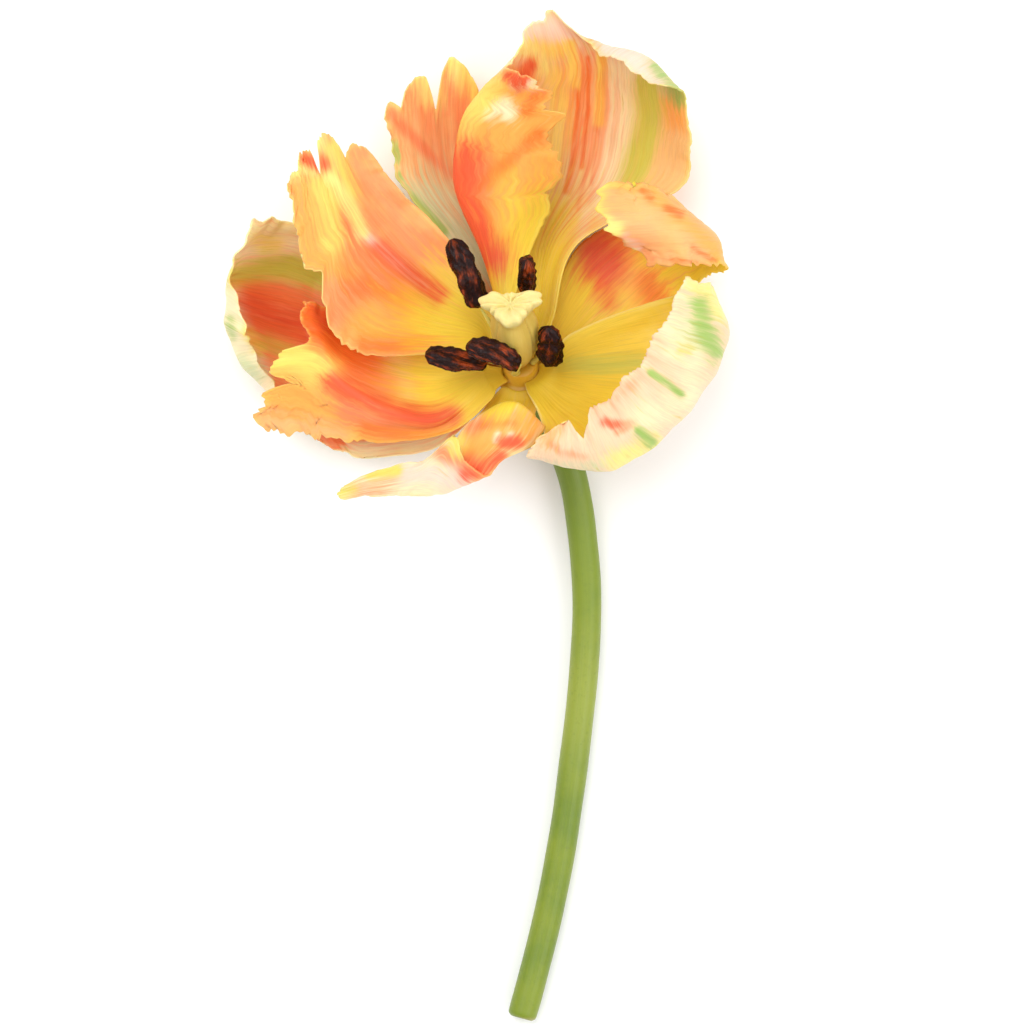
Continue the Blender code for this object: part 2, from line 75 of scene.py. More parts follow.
# The bloom's axis runs from the receptacle; LEFTWARD and UPWARD are square to it
STEM_RADIUS = 3.5
RECEPTACLE = np.array([11.0, 34.5, 17.0])
AXIS = np.array([-0.10, 0.60, 0.79])
AXIS = AXIS / np.linalg.norm(AXIS)
LEFTWARD = np.array([-1.0, 0.0, 0.0])
LEFTWARD = LEFTWARD - LEFTWARD.dot(AXIS) * AXIS
LEFTWARD = LEFTWARD / np.linalg.norm(LEFTWARD)
UPWARD = np.cross(LEFTWARD, AXIS)

# Each stem point is (x, y, z) of the centre line, from the cut end up to the receptacle
STEM_LINE = [
    (11.0, -121.0, 3.5), (13.5, -112.0, 3.5), (17.5, -96.0, 3.5), (21.0, -78.0, 3.6),
    (23.8, -58.0, 4.0), (26.0, -38.0, 4.6), (26.8, -20.0, 5.0), (25.6, -4.0, 5.4),
    (23.4, 9.0, 6.2), (19.6, 19.0, 8.0), (15.4, 26.0, 10.6), (12.6, 30.4, 13.4),
]

# Radius of each ring of the receptacle, and its place along the axis
RECEPTACLE_RINGS = [
    (3.6, -3.6), (4.6, -2.2), (6.0, -1.4), (6.1, -0.8), (4.4, -0.65), (4.1, -0.3), (4.1, 2.8),
    (3.8, 3.25), (2.6, 3.6),
]

# Each seat: radius and place along the axis of a tepal's foot, then of the collar it rests on
INNER_SEAT = (4.65, 1.1, 8.4, 2.2)
OUTER_SEAT = (5.9, 0.0, 8.8, -0.9)

# A side margin that isn't cut in
STRAIGHT = [(0, 0), (1, 0)]

# Each tepal: seat, centre angle and half span in degrees round the axis, measured from straight
# up the bloom towards its left. Its rows of guide points run from foot to tip, each row from
# the side with the larger angle. "end" gives how far the tepal reaches at shares across it,
# "first" and "last" how far its two side margins are cut in at shares along it, and "wave"
# the height in mm of its broad waves and how many there are along a side and along its end.
TEPALS = {
    "tepal_top": {
        "seat": (INNER_SEAT, -8, 30),
        "rows": [
            [(8.8, 50.4, 16.0), (7.0, 50, 15.5), (6.2, 49.5, 13.5), (9, 50, 9.6),
             (12, 50, 8.4), (15, 49.5, 9.0), (17.2, 48.5, 11.5), (18.6, 47.0, 14)],
            [(14.0, 65.5, 12.0), (6.6, 64.2, 15.4), (1.4, 63.5, 12.4), (5.5, 65, 5.8),
             (12.5, 66, 3.6), (18, 65.6, 4.0), (22, 65, 8.0), (24.6, 65.6, 12.4)],
            [(21.5, 80, 14), (8.5, 78.4, 19.5), (-4.8, 79, 14), (5.5, 81, 5.4),
             (16.5, 82, 1.2), (28, 82, -0.6), (39, 80, 6), (48.5, 78.3, 16)],
            [(21.5, 92, 20), (8, 91, 25), (-3.2, 94, 18), (6.5, 96, 8.6),
             (18.5, 97, 3.6), (31, 98, 2.6), (43, 94, 11), (52.3, 88.5, 22)],
            [(21, 100, 26), (11, 99, 30), (2.0, 102, 24), (10.5, 105.5, 16.5),
             (20.5, 107, 11.5), (31, 108, 10.5), (42, 104.5, 18), (50.4, 99.5, 28)],
            [(16.5, 103.5, 33), (10.5, 103, 35.5), (6.0, 105.5, 30.5), (11.5, 111, 25),
             (19, 113.5, 20), (29, 113.5, 18.5), (41.5, 109.2, 25), (49, 101.5, 34)],
            [(13.5, 105.5, 38), (10, 106, 39), (8.4, 108, 36), (11.6, 114, 32),
             (16, 121.8, 33), (26, 113.0, 26), (36, 106.8, 32), (44.8, 102.4, 38)],
        ],
        "end": [(0, 0.97), (0.2, 1), (0.45, 0.99), (0.51, 0.975), (0.57, 1.01), (0.64, 0.965),
                (0.74, 0.99), (1, 1)],
        "first": [(0, 0), (0.42, 0), (0.5, 0.03), (0.56, 0), (0.62, 0.015), (0.7, 0.035),
                  (0.76, -0.01), (0.8, 0.06), (0.87, 0.01), (0.93, 0.04), (1, 0)],
        "last": [(0, 0), (0.55, 0), (0.63, 0.012), (0.7, 0), (0.77, 0.012), (0.84, 0),
                 (0.92, 0.012), (1, 0)],
        "wave": (0.5, 4, 5),
    },
    "tepal_top_left": {
        "seat": (OUTER_SEAT, 22, 27),
        "rows": [
            [(1.6, 50, 9.4), (4.5, 52.5, 6.6), (8, 53.5, 5.2), (11.5, 52, 5.6)],
            [(-8, 67, 8), (-3, 67, 4.2), (3, 67, 2.0), (8.5, 66, 1.4)],
            [(-18.4, 79.5, 9), (-12, 80, 4), (-5, 80, 0.6), (2, 79, -0.4)],
            [(-20.6, 89, 13), (-14.5, 92.5, 8), (-7.5, 94, 4.5), (0.5, 93, 3.6)],
            [(-22.4, 97, 19), (-14.6, 106, 15), (-6.6, 110.5, 13.6), (1.0, 108, 13)],
        ],
        "end": [(0, 0.97), (0.08, 1), (0.17, 0.93), (0.25, 0.97), (0.38, 0.985), (0.47, 0.97),
                (0.55, 0.9), (0.6, 0.84), (0.64, 0.95), (0.72, 1), (0.86, 0.985), (1, 0.93)],
        "first": [(0, 0), (0.5, 0), (0.6, 0.02), (0.66, 0.0), (0.73, 0.045), (0.78, 0.02),
                  (0.86, 0.035), (0.93, 0), (1, 0)],
        "last": STRAIGHT,
        "wave": (0.4, 3, 3),
    },
    "tepal_upper_left": {
        "seat": (INNER_SEAT, 52, 24),
        "rows": [
            [(0.4, 39.4, 20), (0.2, 43.0, 16), (1.0, 46.5, 12.6), (2.8, 49, 11.6), (4.3, 50.8, 12.6)],
            [(-13, 38.5, 23), (-12, 45, 17), (-9.5, 52.5, 11.5), (-6, 58, 9.5), (-2.4, 61.5, 11.5)],
            [(-26.5, 37.8, 30), (-23, 48, 23), (-19, 60, 15), (-14.5, 66, 11), (-9, 69.3, 12.5)],
            [(-35.6, 46, 33), (-31.5, 57, 27), (-27, 68.5, 20), (-22, 74, 14), (-16.3, 76.3, 14)],
            [(-41.5, 62, 31), (-37, 70, 28), (-32, 77.5, 25), (-27.5, 80.5, 18.5), (-21.2, 82, 16.5)],
            [(-45.2, 79, 30), (-41.5, 88, 29), (-36.5, 92, 27), (-32, 92.5, 23), (-26.4, 89, 19.5)],
        ],
        "end": [(0, 1), (0.1, 1), (0.17, 0.98), (0.25, 1), (0.36, 0.99), (0.44, 0.9), (0.5, 0.98),
                (0.58, 1), (0.66, 0.985), (0.73, 0.91), (0.79, 0.9), (0.86, 0.96), (1, 0.97)],
        "first": [(0, 0), (0.3, 0), (0.45, 0.02), (0.55, 0), (0.64, -0.01), (0.68, 0.02),
                  (0.725, 0.14), (0.79, -0.045), (0.84, 0.02), (0.9, -0.02), (0.95, 0.04),
                  (0.98, 0), (1, 0)],
        "last": STRAIGHT,
        "wave": (0.7, 4, 4),
    },
    "tepal_far_left": {
        "seat": (OUTER_SEAT, 88, 29),
        "rows": [
            [(1.0, 25.5, 15.5), (-2.5, 30, 14), (-4.5, 36, 12.5), (-3.5, 41, 11.0), (-1.5, 46.5, 10)],
            [(-10, 16.0, 11.5), (-17, 27, 8), (-19, 39, 4.6), (-17, 48, 3.6), (-14, 56, 4.5)],
            [(-27, 14.0, 9.5), (-32, 28, 3.2), (-34, 42, -0.4), (-32, 55, -0.4), (-28, 64, 3.4)],
            [(-33, 15.4, 9.5), (-46, 33, 6), (-48.5, 46, 4), (-46.5, 61, 5), (-41, 70.3, 9)],
            [(-39, 18.8, 9.6), (-56.6, 37.5, 12.5), (-59.6, 50, 15.5), (-57, 60.5, 16), (-49, 71.8, 17)],
            [(-44, 21.5, 11.5), (-52, 38.6, 19.5), (-55, 46, 26), (-58.5, 58.5, 25), (-53, 71.3, 23)],
        ],
        "end": [(0, 1), (0.25, 1), (0.38, 0.98), (0.5, 1), (0.6, 0.985), (0.72, 1), (0.8, 0.98),
                (0.88, 1), (1, 1)],
        "first": [(0, 0), (0.45, 0), (0.55, -0.02), (0.62, 0.02), (0.75, 0), (1, 0)],
        "last": [(0, 0), (0.7, 0), (0.8, 0.02), (0.88, 0), (0.94, 0.02), (1, 0)],
        "wave": (0.5, 4, 4),
    },
    "tepal_lower_left": {
        "seat": (INNER_SEAT, 110, 28),
        "rows": [
            [(3.5, 27.5, 24), (2.2, 29.4, 22.2), (1.2, 31.5, 20.6), (0.2, 35, 18.4), (0.6, 39.2, 17.4)],
            [(-5, 20.5, 22), (-8, 21.6, 21.5), (-9, 24, 22), (-12, 35, 15.5), (-10, 43.5, 15.5)],
            [(-18, 17.6, 21), (-20, 21, 22.5), (-20, 25.5, 25), (-23, 37, 17.5), (-21, 46, 18.5)],
            [(-32, 17.6, 20), (-33, 24.5, 23), (-31, 31, 29), (-32, 40, 22), (-31, 48.6, 22)],
            [(-43.5, 18.5, 18.5), (-43.5, 29.5, 23), (-38.5, 37, 29), (-38, 45, 29), (-38, 51, 28)],
            [(-53.6, 20, 17.5), (-54, 29.5, 23), (-48.6, 37.0, 29), (-42.5, 46.5, 34), (-41.5, 51.5, 32)],
        ],
        "end": [(0, 0.98), (0.08, 1), (0.14, 0.95), (0.2, 0.97), (0.26, 0.89), (0.34, 0.98),
                (0.42, 1), (0.52, 0.99), (0.6, 0.9), (0.7, 0.93), (0.8, 1), (0.9, 1), (1, 0.97)],
        "first": [(0, 0), (0.4, 0), (0.5, 0.012), (0.57, -0.01), (0.62, 0.02), (0.68, 0),
                  (0.74, 0.03), (0.8, -0.01), (0.85, 0.03), (0.91, 0), (0.95, 0.02), (1, 0)],
        "last": STRAIGHT,
        "wave": (0.4, 4, 4),
    },
    "tepal_bottom": {
        "seat": (OUTER_SEAT, 173, 41),
        "rows": [
            [(14.4, 24.8, 25.3), (8.8, 24.4, 25.2), (1.8, 25.3, 21.8)],
            [(15.0, 22.6, 29.5), (8.8, 25.6, 30.5), (-0.6, 22.8, 28)],
            [(17.0, 21.0, 33), (8.6, 27.0, 35), (-1.8, 22.2, 31.5)],
            [(16.0, 18.4, 34.4), (6.8, 23.6, 38.4), (-3.8, 19.6, 34.5)],
            [(12.8, 16.0, 35.4), (3.4, 18.0, 39.4), (-5.0, 16.6, 36.4)],
            [(7.2, 13.2, 36.4), (-0.6, 12.4, 37.6), (-6.4, 10.6, 35)],
            [(2.6, 9.8, 37.5), (-3.8, 6.8, 36), (-8.5, 5.5, 33)],
            [(-2.6, 13.6, 43.8), (-7.2, 9.2, 41.6), (-11.5, 4.9, 36.8)],
            [(-5.0, 19.0, 43.0), (-10.6, 10.6, 40), (-15, 4.8, 35)],
            [(-11.4, 14.0, 37.5), (-15.6, 9.0, 36.6), (-18.6, 4.8, 33)],
            [(-19, 12.4, 33), (-21, 8, 32.5), (-22.6, 4.7, 30)],
            [(-25.5, 10.2, 28.5), (-26, 7, 29.6), (-26.8, 4.7, 28)],
            [(-31.2, 7.0, 26), (-33.0, 5.2, 26), (-31.4, 3.9, 26)],
        ],
        "end": [(0, 1), (1, 1)],
        "first": [(0, 0), (0.2, 0), (0.28, 0.04), (0.34, 0), (0.42, 0.05), (0.5, 0), (0.6, 0),
                  (0.66, -0.1), (0.72, 0.08), (0.8, 0), (0.86, 0.08), (0.92, 0), (1, 0)],
        "last": STRAIGHT,
        "wave": (0.35, 5, 0),
    },
    "tepal_right": {
        "seat": (INNER_SEAT, -122, 46),
        "rows": [
            [(22.5, 43.5, 15), (24.6, 38, 16), (24.2, 30.6, 20), (20, 25.8, 24), (14.8, 25.2, 28)],
            [(38, 50, 13), (42, 41, 12.5), (39.5, 28, 16.5), (29, 18.5, 23), (16.6, 19.4, 28.4)],
            [(52, 54, 20), (57.5, 43, 19), (49.5, 27, 22), (33, 14.0, 27), (15, 15, 30)],
            [(56, 55, 29), (60, 43, 31), (51, 25.5, 33), (33, 11.4, 34.5), (12.4, 14.2, 33.5)],
            [(54.5, 56.5, 37), (54, 46, 42), (45, 28, 42.5), (30, 15.5, 41), (12.8, 15.8, 37.5)],
            [(50, 57.5, 38), (45, 48, 43), (36.5, 35, 42.5), (26, 25, 40), (16.6, 20.4, 38.5)],
        ],
        "end": [(0, 0.99), (0.1, 1), (0.2, 0.985), (0.3, 1), (0.42, 0.98), (0.5, 1), (0.6, 0.985),
                (0.72, 1), (0.8, 0.93), (0.86, 1.02), (0.93, 1), (1, 0.96)],
        "first": [(0, 0), (0.6, 0), (0.7, 0.02), (0.8, 0), (0.9, 0.02), (1, 0)],
        "last": STRAIGHT,
        "wave": (0.4, 3, 4),
    },
    "tepal_upper_right": {
        "seat": (OUTER_SEAT, -62, 36),
        "rows": [
            [(16.4, 47, 8.0), (22, 43, 8.6), (25.5, 36.8, 11.6)],
            [(23.6, 63.5, 2.0), (32.5, 55, 1.6), (38.5, 43.5, 6)],
            [(32.5, 70, 5.6), (43, 63.5, 4.6), (48.5, 52, 8.5)],
            [(42, 72, 17), (52, 66.5, 15), (56.5, 57.5, 17)],
            [(45.5, 76.5, 30), (56.5, 68, 28), (60, 59, 28)],
            [(37, 80.5, 38), (46, 69, 39), (51, 59.5, 36)],
            [(26.2, 78.5, 35), (30.5, 68.3, 36), (41.5, 59.8, 32)],
        ],
        "end": [(0, 0.94), (0.06, 0.98), (0.13, 0.97), (0.25, 1), (0.38, 0.98), (0.5, 1),
                (0.62, 0.975), (0.75, 1), (0.88, 0.98), (1, 1)],
        "first": [(0, 0), (0.5, 0), (0.6, 0.02), (0.68, -0.02), (0.76, 0.02), (0.84, 0),
                  (0.92, 0.03), (1, 0)],
        "last": [(0, 0), (0.62, 0), (0.66, -0.04), (0.72, 0.02), (0.8, 0), (1, 0)],
        "wave": (0.5, 3, 2),
    },
}

# Each stamen: angle of its seat, then the lower end, middle and upper end of its anther
STAMENS = {
    "upper_left": (45, [(1.2, 50.0, 22.5), (-2.2, 58.2, 25.0), (-5.8, 66.2, 26.0)]),
    "top": (-40, [(12.6, 54.0, 21.0), (12.4, 57.6, 26.0), (12.2, 61.4, 31.0)]),
    "right": (-95, [(17.4, 36.2, 26.0), (18.0, 40.5, 30.0), (17.2, 45.2, 34.0)]),
    "left": (105, [(2.8, 37.4, 26.0), (-4.4, 37.2, 28.4), (-12.0, 38.6, 29.6)]),
    "front": (168, [(10.6, 36.2, 34.6), (5.2, 38.8, 37.4), (-2.2, 40.6, 36.4)]),
    "hidden": (2, [(9.8, 45.6, 20.0), (9.6, 48.4, 22.2), (8.8, 51.2, 24.6)]),
}
ANTHER_HALF_WIDTH = 3.0
ANTHER_HALF_DEPTH = 1.9
# Thickness along an anther, and along a filament from foot to tip, as (share, factor)
ANTHER_SWELL = [(0, 0.2), (0.05, 0.7), (0.12, 0.92), (0.4, 1.0), (0.8, 0.96), (0.93, 0.7), (1, 0.2)]
FILAMENT_TAPER = [(0, 1.15), (0.2, 1.0), (0.8, 0.7), (1, 0.35)]
FILAMENT_RADIUS = 0.7
# Radius and place along the axis of a filament's foot, and how far it stops short of its anther
FILAMENT_SEAT = (3.0, 3.75)
FILAMENT_GAP = 0.3

# Pistil rings: place along the axis, radius, how deep the three lobes are cut, and height to width
PISTIL_RINGS = [
    (3.6, 1.6, 0.0, 1.0), (4.2, 2.0, 0.02, 1.0), (6.0, 3.3, 0.05, 1.0),
    (9.0, 4.7, 0.07, 1.0), (13.0, 5.5, 0.08, 1.0), (17.0, 5.6, 0.08, 1.0),
    (20.0, 5.1, 0.1, 0.95), (22.4, 4.6, 0.14, 0.9), (24.0, 5.2, 0.22, 0.8),
    (25.2, 6.3, 0.26, 0.7), (26.4, 6.6, 0.26, 0.66), (27.2, 5.5, 0.24, 0.66),
    (27.0, 3.4, 0.16, 0.7), (26.6, 1.4, 0.0, 1.0),
]

# Plain names of the petal colours, as they look in daylight (red, green, blue out of 255)
PALETTE = {
    "tan": (240, 194, 130),
    "peach": (243, 172, 112),
    "blush": (236, 196, 160),
    "salmon": (243, 152, 96),
    "orange": (250, 166, 76),
    "coral": (242, 134, 86),
    "deep": (234, 106, 34),
    "amber": (206, 172, 30),
    "pink": (243, 208, 188),
    "cream": (242, 222, 178),
    "sage": (204, 208, 160),
    "gold": (238, 206, 62),
    "yellow": (246, 208, 100),
    "lemon": (242, 218, 128),
    "green": (154, 182, 92),
    "olive": (202, 198, 84),
    "flame": (228, 92, 52),
}

# Each stroke of colour: colour, side it is on, half width in mm, strength, and the points it
# runs through, as seen from above. Later colours of the palette lie over earlier ones. A
# "stripe" is a stretch where deep orange lines run along the veins.
STROKES = {
    "tepal_top": [
        ("gold", "both", 17, 1.0, [(11, 45), (12, 62)]),
        ("gold", "both", 8, 0.9, [(13, 62), (16, 72)]),
        ("orange", "back", 16, 1.0, [(2, 80), (8, 90), (10, 100)]),
        ("flame", "back", 6, 1.0, [(-3, 86), (-4, 76), (-1, 70), (3, 63)]),
        ("coral", "back", 5, 0.9, [(0, 82), (3, 75), (6, 68)]),
        ("deep", "back", 2.2, 0.7, [(1, 79), (8, 85), (15, 91)]),
        ("deep", "back", 1.6, 0.6, [(9, 86), (14, 89), (20, 91)]),
        ("deep", "back", 2, 0.7, [(12, 97), (15, 101), (18, 103)]),
        ("yellow", "back", 3.4, 1.0, [(-3.5, 88), (-2.4, 94), (0.4, 99), (5, 103)]),
        ("cream", "back", 2.4, 1.0, [(3, 97), (6.5, 98.6), (8, 96.4)]),
        ("cream", "back", 1.8, 1.0, [(9.4, 103.4), (13, 103.6), (17, 104.4)]),
        ("orange", "both", 4, 0.9, [(9, 109), (11, 105)]),
        ("flame", "both", 2.2, 1.0, [(8.6, 104.6), (10.6, 103.4), (13, 108)]),
        ("tan", "face", 12, 0.9, [(24, 104), (23, 84), (20, 72)]),
        ("cream", "both", 4, 1.0, [(7, 120), (5, 114), (5.6, 110)]),
        ("lemon", "both", 2.6, 1.0, [(9, 113), (13, 111), (16, 108)]),
        ("stripe", "face", 7.5, 0.8, [(27, 110), (28, 98), (26, 84), (22, 70)]),
        ("yellow", "face", 3, 0.8, [(19, 106), (20, 96), (19, 84)]),
        ("orange", "face", 4, 0.6, [(21, 106), (23, 100), (24, 90)]),
        ("coral", "face", 1.0, 0.7, [(25.4, 112), (26, 100), (24.6, 88), (22.6, 78)]),
        ("coral", "face", 0.9, 0.7, [(28.4, 111), (28.4, 98), (27, 84), (24.6, 74)]),
        ("deep", "face", 0.7, 0.9, [(24, 108), (24.6, 98), (23.2, 86), (21.6, 78)]),
        ("deep", "face", 0.7, 0.9, [(27, 110), (27.2, 98), (25.6, 84)]),
        ("deep", "face", 0.6, 0.8, [(29.6, 106), (29.4, 92), (28, 80)]),
        ("coral", "face", 1.8, 0.7, [(31.6, 104), (32, 97), (30.5, 86), (28, 76)]),
        ("yellow", "face", 1.6, 1.0, [(23, 113), (23.8, 104)]),
        ("yellow", "face", 1.5, 1.0, [(30.4, 113), (30.2, 104), (29.8, 95)]),
        ("cream", "face", 4.6, 0.9, [(34.6, 106), (35.2, 96), (34, 86), (31, 75)]),
        ("olive", "face", 3.6, 1.0, [(41, 104), (42, 97), (41, 92), (38.4, 84), (36, 77)]),
        ("orange", "face", 4.6, 0.8, [(45, 102), (48.6, 96)]),
        ("tan", "face", 9, 0.9, [(48, 92), (50, 84), (46, 78)]),
        ("pink", "both", 4.4, 1.0, [(33, 112), (38, 109), (43.4, 104.8)]),
        ("green", "both", 2.8, 0.9, [(44, 107.6), (47, 103.8), (49.4, 100)]),
        ("pink", "both", 4.2, 1.0, [(12.4, 112), (14, 117), (19, 116.4), (22, 114.4)]),
        ("yellow", "both", 2.6, 0.9, [(14.6, 112.2), (18, 111.4), (22, 112)]),
        ("pink", "face", 1.9, 0.75, [(26.6, 73), (25, 65), (21.4, 56), (18, 49)]),
    ],
    "tepal_top_left": [
        ("stripe", "face", 9, 0.4, [(-12, 98), (-8, 84)]),
        ("tan", "face", 14, 0.8, [(-14, 86), (-8, 78)]),
        ("lemon", "face", 3.6, 0.9, [(-12, 104.6), (-11, 101)]),
        ("lemon", "face", 4.0, 0.9, [(-6, 110.4), (-3, 107)]),
        ("yellow", "face", 2.4, 0.7, [(-1.6, 107), (0, 101)]),
        ("coral", "face", 1.8, 0.8, [(-20, 96), (-13, 89), (-6, 82)]),
        ("coral", "face", 2.6, 0.5, [(-12, 96), (-9, 88), (-6, 84)]),
        ("coral", "face", 2.0, 0.6, [(-3, 100), (-4, 90)]),
        ("sage", "face", 9, 0.95, [(-12, 74), (-5, 68), (-1, 62)]),
        ("tan", "face", 4, 0.6, [(-6, 76), (-3, 72)]),
        ("green", "face", 1.8, 1.0, [(-18.4, 78.4), (-14, 74.4), (-8, 68.5)]),
        ("green", "both", 1.7, 1.0, [(-20, 89), (-19.4, 86)]),
        ("green", "both", 1.2, 0.8, [(-18.6, 82), (-18.4, 80)]),
    ],
    "tepal_upper_left": [
        ("stripe", "face", 9, 0.35, [(-34, 70), (-26, 58)]),
        ("orange", "face", 8, 1.0, [(-41, 66), (-37, 71), (-38, 76)]),
        ("orange", "face", 5, 1.0, [(-40, 62), (-30, 60)]),
        ("yellow", "face", 3.4, 0.9, [(-36.5, 79), (-35, 72), (-34, 66)]),
        ("lemon", "face", 1.8, 0.9, [(-43, 84), (-37, 82.6), (-33, 79.4), (-30, 74), (-27, 68)]),
        ("pink", "face", 1.4, 0.8, [(-27, 68), (-20, 61.6), (-12, 55)]),
        ("yellow", "face", 2.4, 0.9, [(-34, 88), (-32, 82), (-30, 78)]),
        ("lemon", "both", 3.0, 0.9, [(-44, 83), (-42, 85), (-39, 90)]),
        ("flame", "face", 2.2, 1.0, [(-41, 86), (-37, 84)]),
        ("coral", "face", 5, 0.8, [(-31, 70), (-27, 62), (-20, 57)]),
        ("flame", "face", 2.8, 0.85, [(-23, 64), (-16, 58.6), (-9, 53)]),
        ("deep", "face", 4.5, 0.6, [(-30, 55), (-22, 54), (-16, 52)]),
        ("coral", "face", 4, 0.7, [(-34, 46.6), (-31, 51), (-26, 56)]),
        ("orange", "face", 8, 1.0, [(-26, 46), (-14, 48)]),
        ("deep", "face", 3.5, 0.8, [(-27, 40), (-18, 40), (-10, 42)]),
        ("gold", "face", 15, 1.0, [(-3, 48), (2, 45)]),
    ],
    "tepal_far_left": [
        ("stripe", "face", 8, 0.6, [(-52, 51), (-40, 47)]),
        # the cream over this tepal's top is partly its own pale colour and partly painted light, made
        # lighter where it lies in shade
        ("cream", "both", 8, 1.0, [(-59, 64), (-54, 66), (-46, 67)]),
        ("lemon", "both", 2.6, 0.8, [(-52, 66), (-48, 65)]),
        ("peach", "both", 3, 0.9, [(-45, 67), (-42, 63)]),
        ("olive", "both", 3.4, 1.0, [(-57, 57.5), (-50, 59.6), (-44, 60), (-36, 57), (-31, 54)]),
        ("coral", "face", 4, 0.8, [(-56, 54), (-48, 54), (-38, 51)]),
        ("flame", "face", 6, 0.8, [(-54, 51), (-48, 48), (-40, 45)]),
        ("olive", "face", 3, 0.7, [(-50, 42), (-45, 40)]),
        ("cream", "back", 30, 1.0, [(-55, 45), (-40, 30)]),
        ("cream", "both", 2.6, 1.0, [(-58, 53), (-56, 44), (-54, 39), (-52, 35)]),
        ("coral", "both", 1.2, 0.8, [(-59.4, 56), (-58, 51)]),
        ("green", "both", 1.6, 0.7, [(-59, 47), (-58.4, 43)]),
        ("sage", "both", 2.6, 0.9, [(-56, 36.6), (-53, 34)]),
        ("yellow", "both", 2.0, 0.9, [(-54.4, 44), (-52, 40.6)]),
        ("cream", "both", 3.4, 0.9, [(-30, 14.5), (-20, 16), (-8, 17.6)]),
        ("peach", "both", 2.0, 0.7, [(-31, 13.5), (-26, 15)]),
    ],
    "tepal_lower_left": [
        ("stripe", "face", 7, 0.35, [(-46, 26), (-32, 26), (-22, 24)]),
        ("deep", "both", 6, 1.0, [(-40, 50), (-38, 44), (-33, 41), (-26, 39)]),
        ("flame", "both", 3, 0.6, [(-38, 51), (-36, 46)]),
        ("yellow", "face", 4.4, 1.0, [(-49, 36), (-42, 37), (-36, 34)]),
        ("yellow", "both", 2.0, 1.0, [(-46, 38), (-44, 40), (-39, 38)]),
        ("coral", "face", 5, 0.9, [(-34, 35), (-27, 34), (-22, 31)]),
        ("flame", "face", 3.2, 0.95, [(-34, 32), (-27, 28), (-20, 25), (-12, 23.6), (-6, 24)]),
        ("coral", "face", 4, 0.9, [(-30, 25), (-20, 22.6), (-12, 21.5)]),
        ("deep", "face", 2.4, 0.7, [(-26, 20.6), (-15, 19.6), (-8, 20)]),
        ("peach", "face", 4, 0.9, [(-52, 23), (-42, 20.6), (-34, 19)]),
        ("tan", "face", 4, 0.8, [(-25, 36), (-18, 35), (-16, 30)]),
        ("gold", "face", 14, 1.0, [(-6, 33), (0, 31)]),
        ("gold", "face", 6, 0.7, [(-15, 32), (-10, 28)]),
    ],
    "tepal_bottom": [
        ("gold", "both", 4.4, 1.0, [(14, 29), (9, 28.6), (4, 27.4)]),
        ("orange", "both", 6.5, 1.0, [(12, 22), (5, 20), (0, 17), (1, 13)]),
        ("coral", "both", 2, 0.8, [(-1, 21), (4, 24), (9, 25)]),
        ("deep", "both", 1.4, 0.6, [(2, 21.5), (6, 22.5), (9, 22)]),
        ("flame", "both", 1.9, 1.0, [(10, 17.6), (6.6, 17.6)]),
        ("flame", "both", 2.2, 0.9, [(6, 14), (2, 10.8), (-2, 10)]),
        # these two small cream dabs are painted glints, a painted highlight
        ("cream", "both", 0.9, 1.0, [(8.4, 19.4), (8.0, 18.2)]),
        ("cream", "both", 0.8, 1.0, [(5.4, 19.4), (5.0, 18)]),
        ("yellow", "both", 2.4, 1.0, [(-6.5, 19.6), (-4.5, 18), (-4, 16.4)]),
        ("coral", "both", 3.0, 0.9, [(-7.6, 14.6), (-4, 12.6), (-1, 12)]),
        ("pink", "both", 3.4, 0.9, [(-16, 10), (-10, 10), (-4, 8)]),
        ("coral", "both", 3.4, 0.6, [(-18, 10), (-23, 7), (-28, 6)]),
        ("yellow", "both", 1.6, 1.0, [(-25.4, 10.2), (-19, 10.8)]),
        ("olive", "both", 1.8, 0.7, [(-29.6, 6.4), (-33, 5)]),
    ],
    "tepal_right": [
        ("gold", "face", 26, 1.0, [(20, 40), (24, 32)]),
        ("olive", "face", 2.6, 0.9, [(21, 36.4), (30, 36), (39, 36.6)]),
        ("amber", "face", 5, 0.9, [(27, 27), (19, 29), (12, 28)]),
        ("deep", "face", 3, 0.5, [(26, 26), (30, 29)]),
        ("gold", "face", 5, 0.9, [(22, 19), (22, 24)]),
        ("cream", "back", 4, 0.6, [(49, 57), (46, 48), (48, 40)]),
        ("cream", "back", 4, 0.7, [(54, 40), (50, 28), (40, 22)]),
        ("coral", "back", 2.4, 0.45, [(38, 32), (33, 28.6), (28, 26)]),
        ("sage", "back", 5, 0.7, [(50, 50), (51, 44)]),
        ("green", "back", 2.8, 0.95, [(53.6, 50), (54.4, 45), (57.4, 39)]),
        ("green", "back", 1.2, 0.95, [(42, 34), (46, 31.8), (49, 29)]),
        ("green", "back", 1.6, 0.95, [(39, 20), (42, 17.6)]),
        ("olive", "back", 1.2, 0.6, [(49, 39.4), (51, 39.2)]),
        ("flame", "back", 1.4, 0.9, [(31, 22.4), (33.6, 21.6)]),
        ("coral", "back", 1.2, 0.8, [(33, 21.6), (38, 22), (34, 20)]),
        ("lemon", "back", 3.4, 0.9, [(52, 57), (56, 54), (58.6, 50)]),
        ("lemon", "back", 3.0, 0.9, [(34, 13), (38, 15), (42, 17)]),
        ("sage", "back", 2.4, 0.6, [(14, 12), (22, 11.5), (30, 12)]),
        ("peach", "both", 2.8, 0.9, [(17, 18.6), (20, 23), (22, 25)]),
        ("coral", "both", 1.2, 0.6, [(18, 17), (21, 15), (26, 14)]),
    ],
    "tepal_upper_right": [
        ("gold", "face", 13, 1.0, [(22, 45), (27, 47)]),
        ("yellow", "face", 6, 0.6, [(30, 44), (32, 48)]),
        ("orange", "face", 6, 1.0, [(34, 68), (37, 59), (41, 54), (43, 46)]),
        ("deep", "face", 4, 0.7, [(41, 56), (43, 51), (41, 46)]),
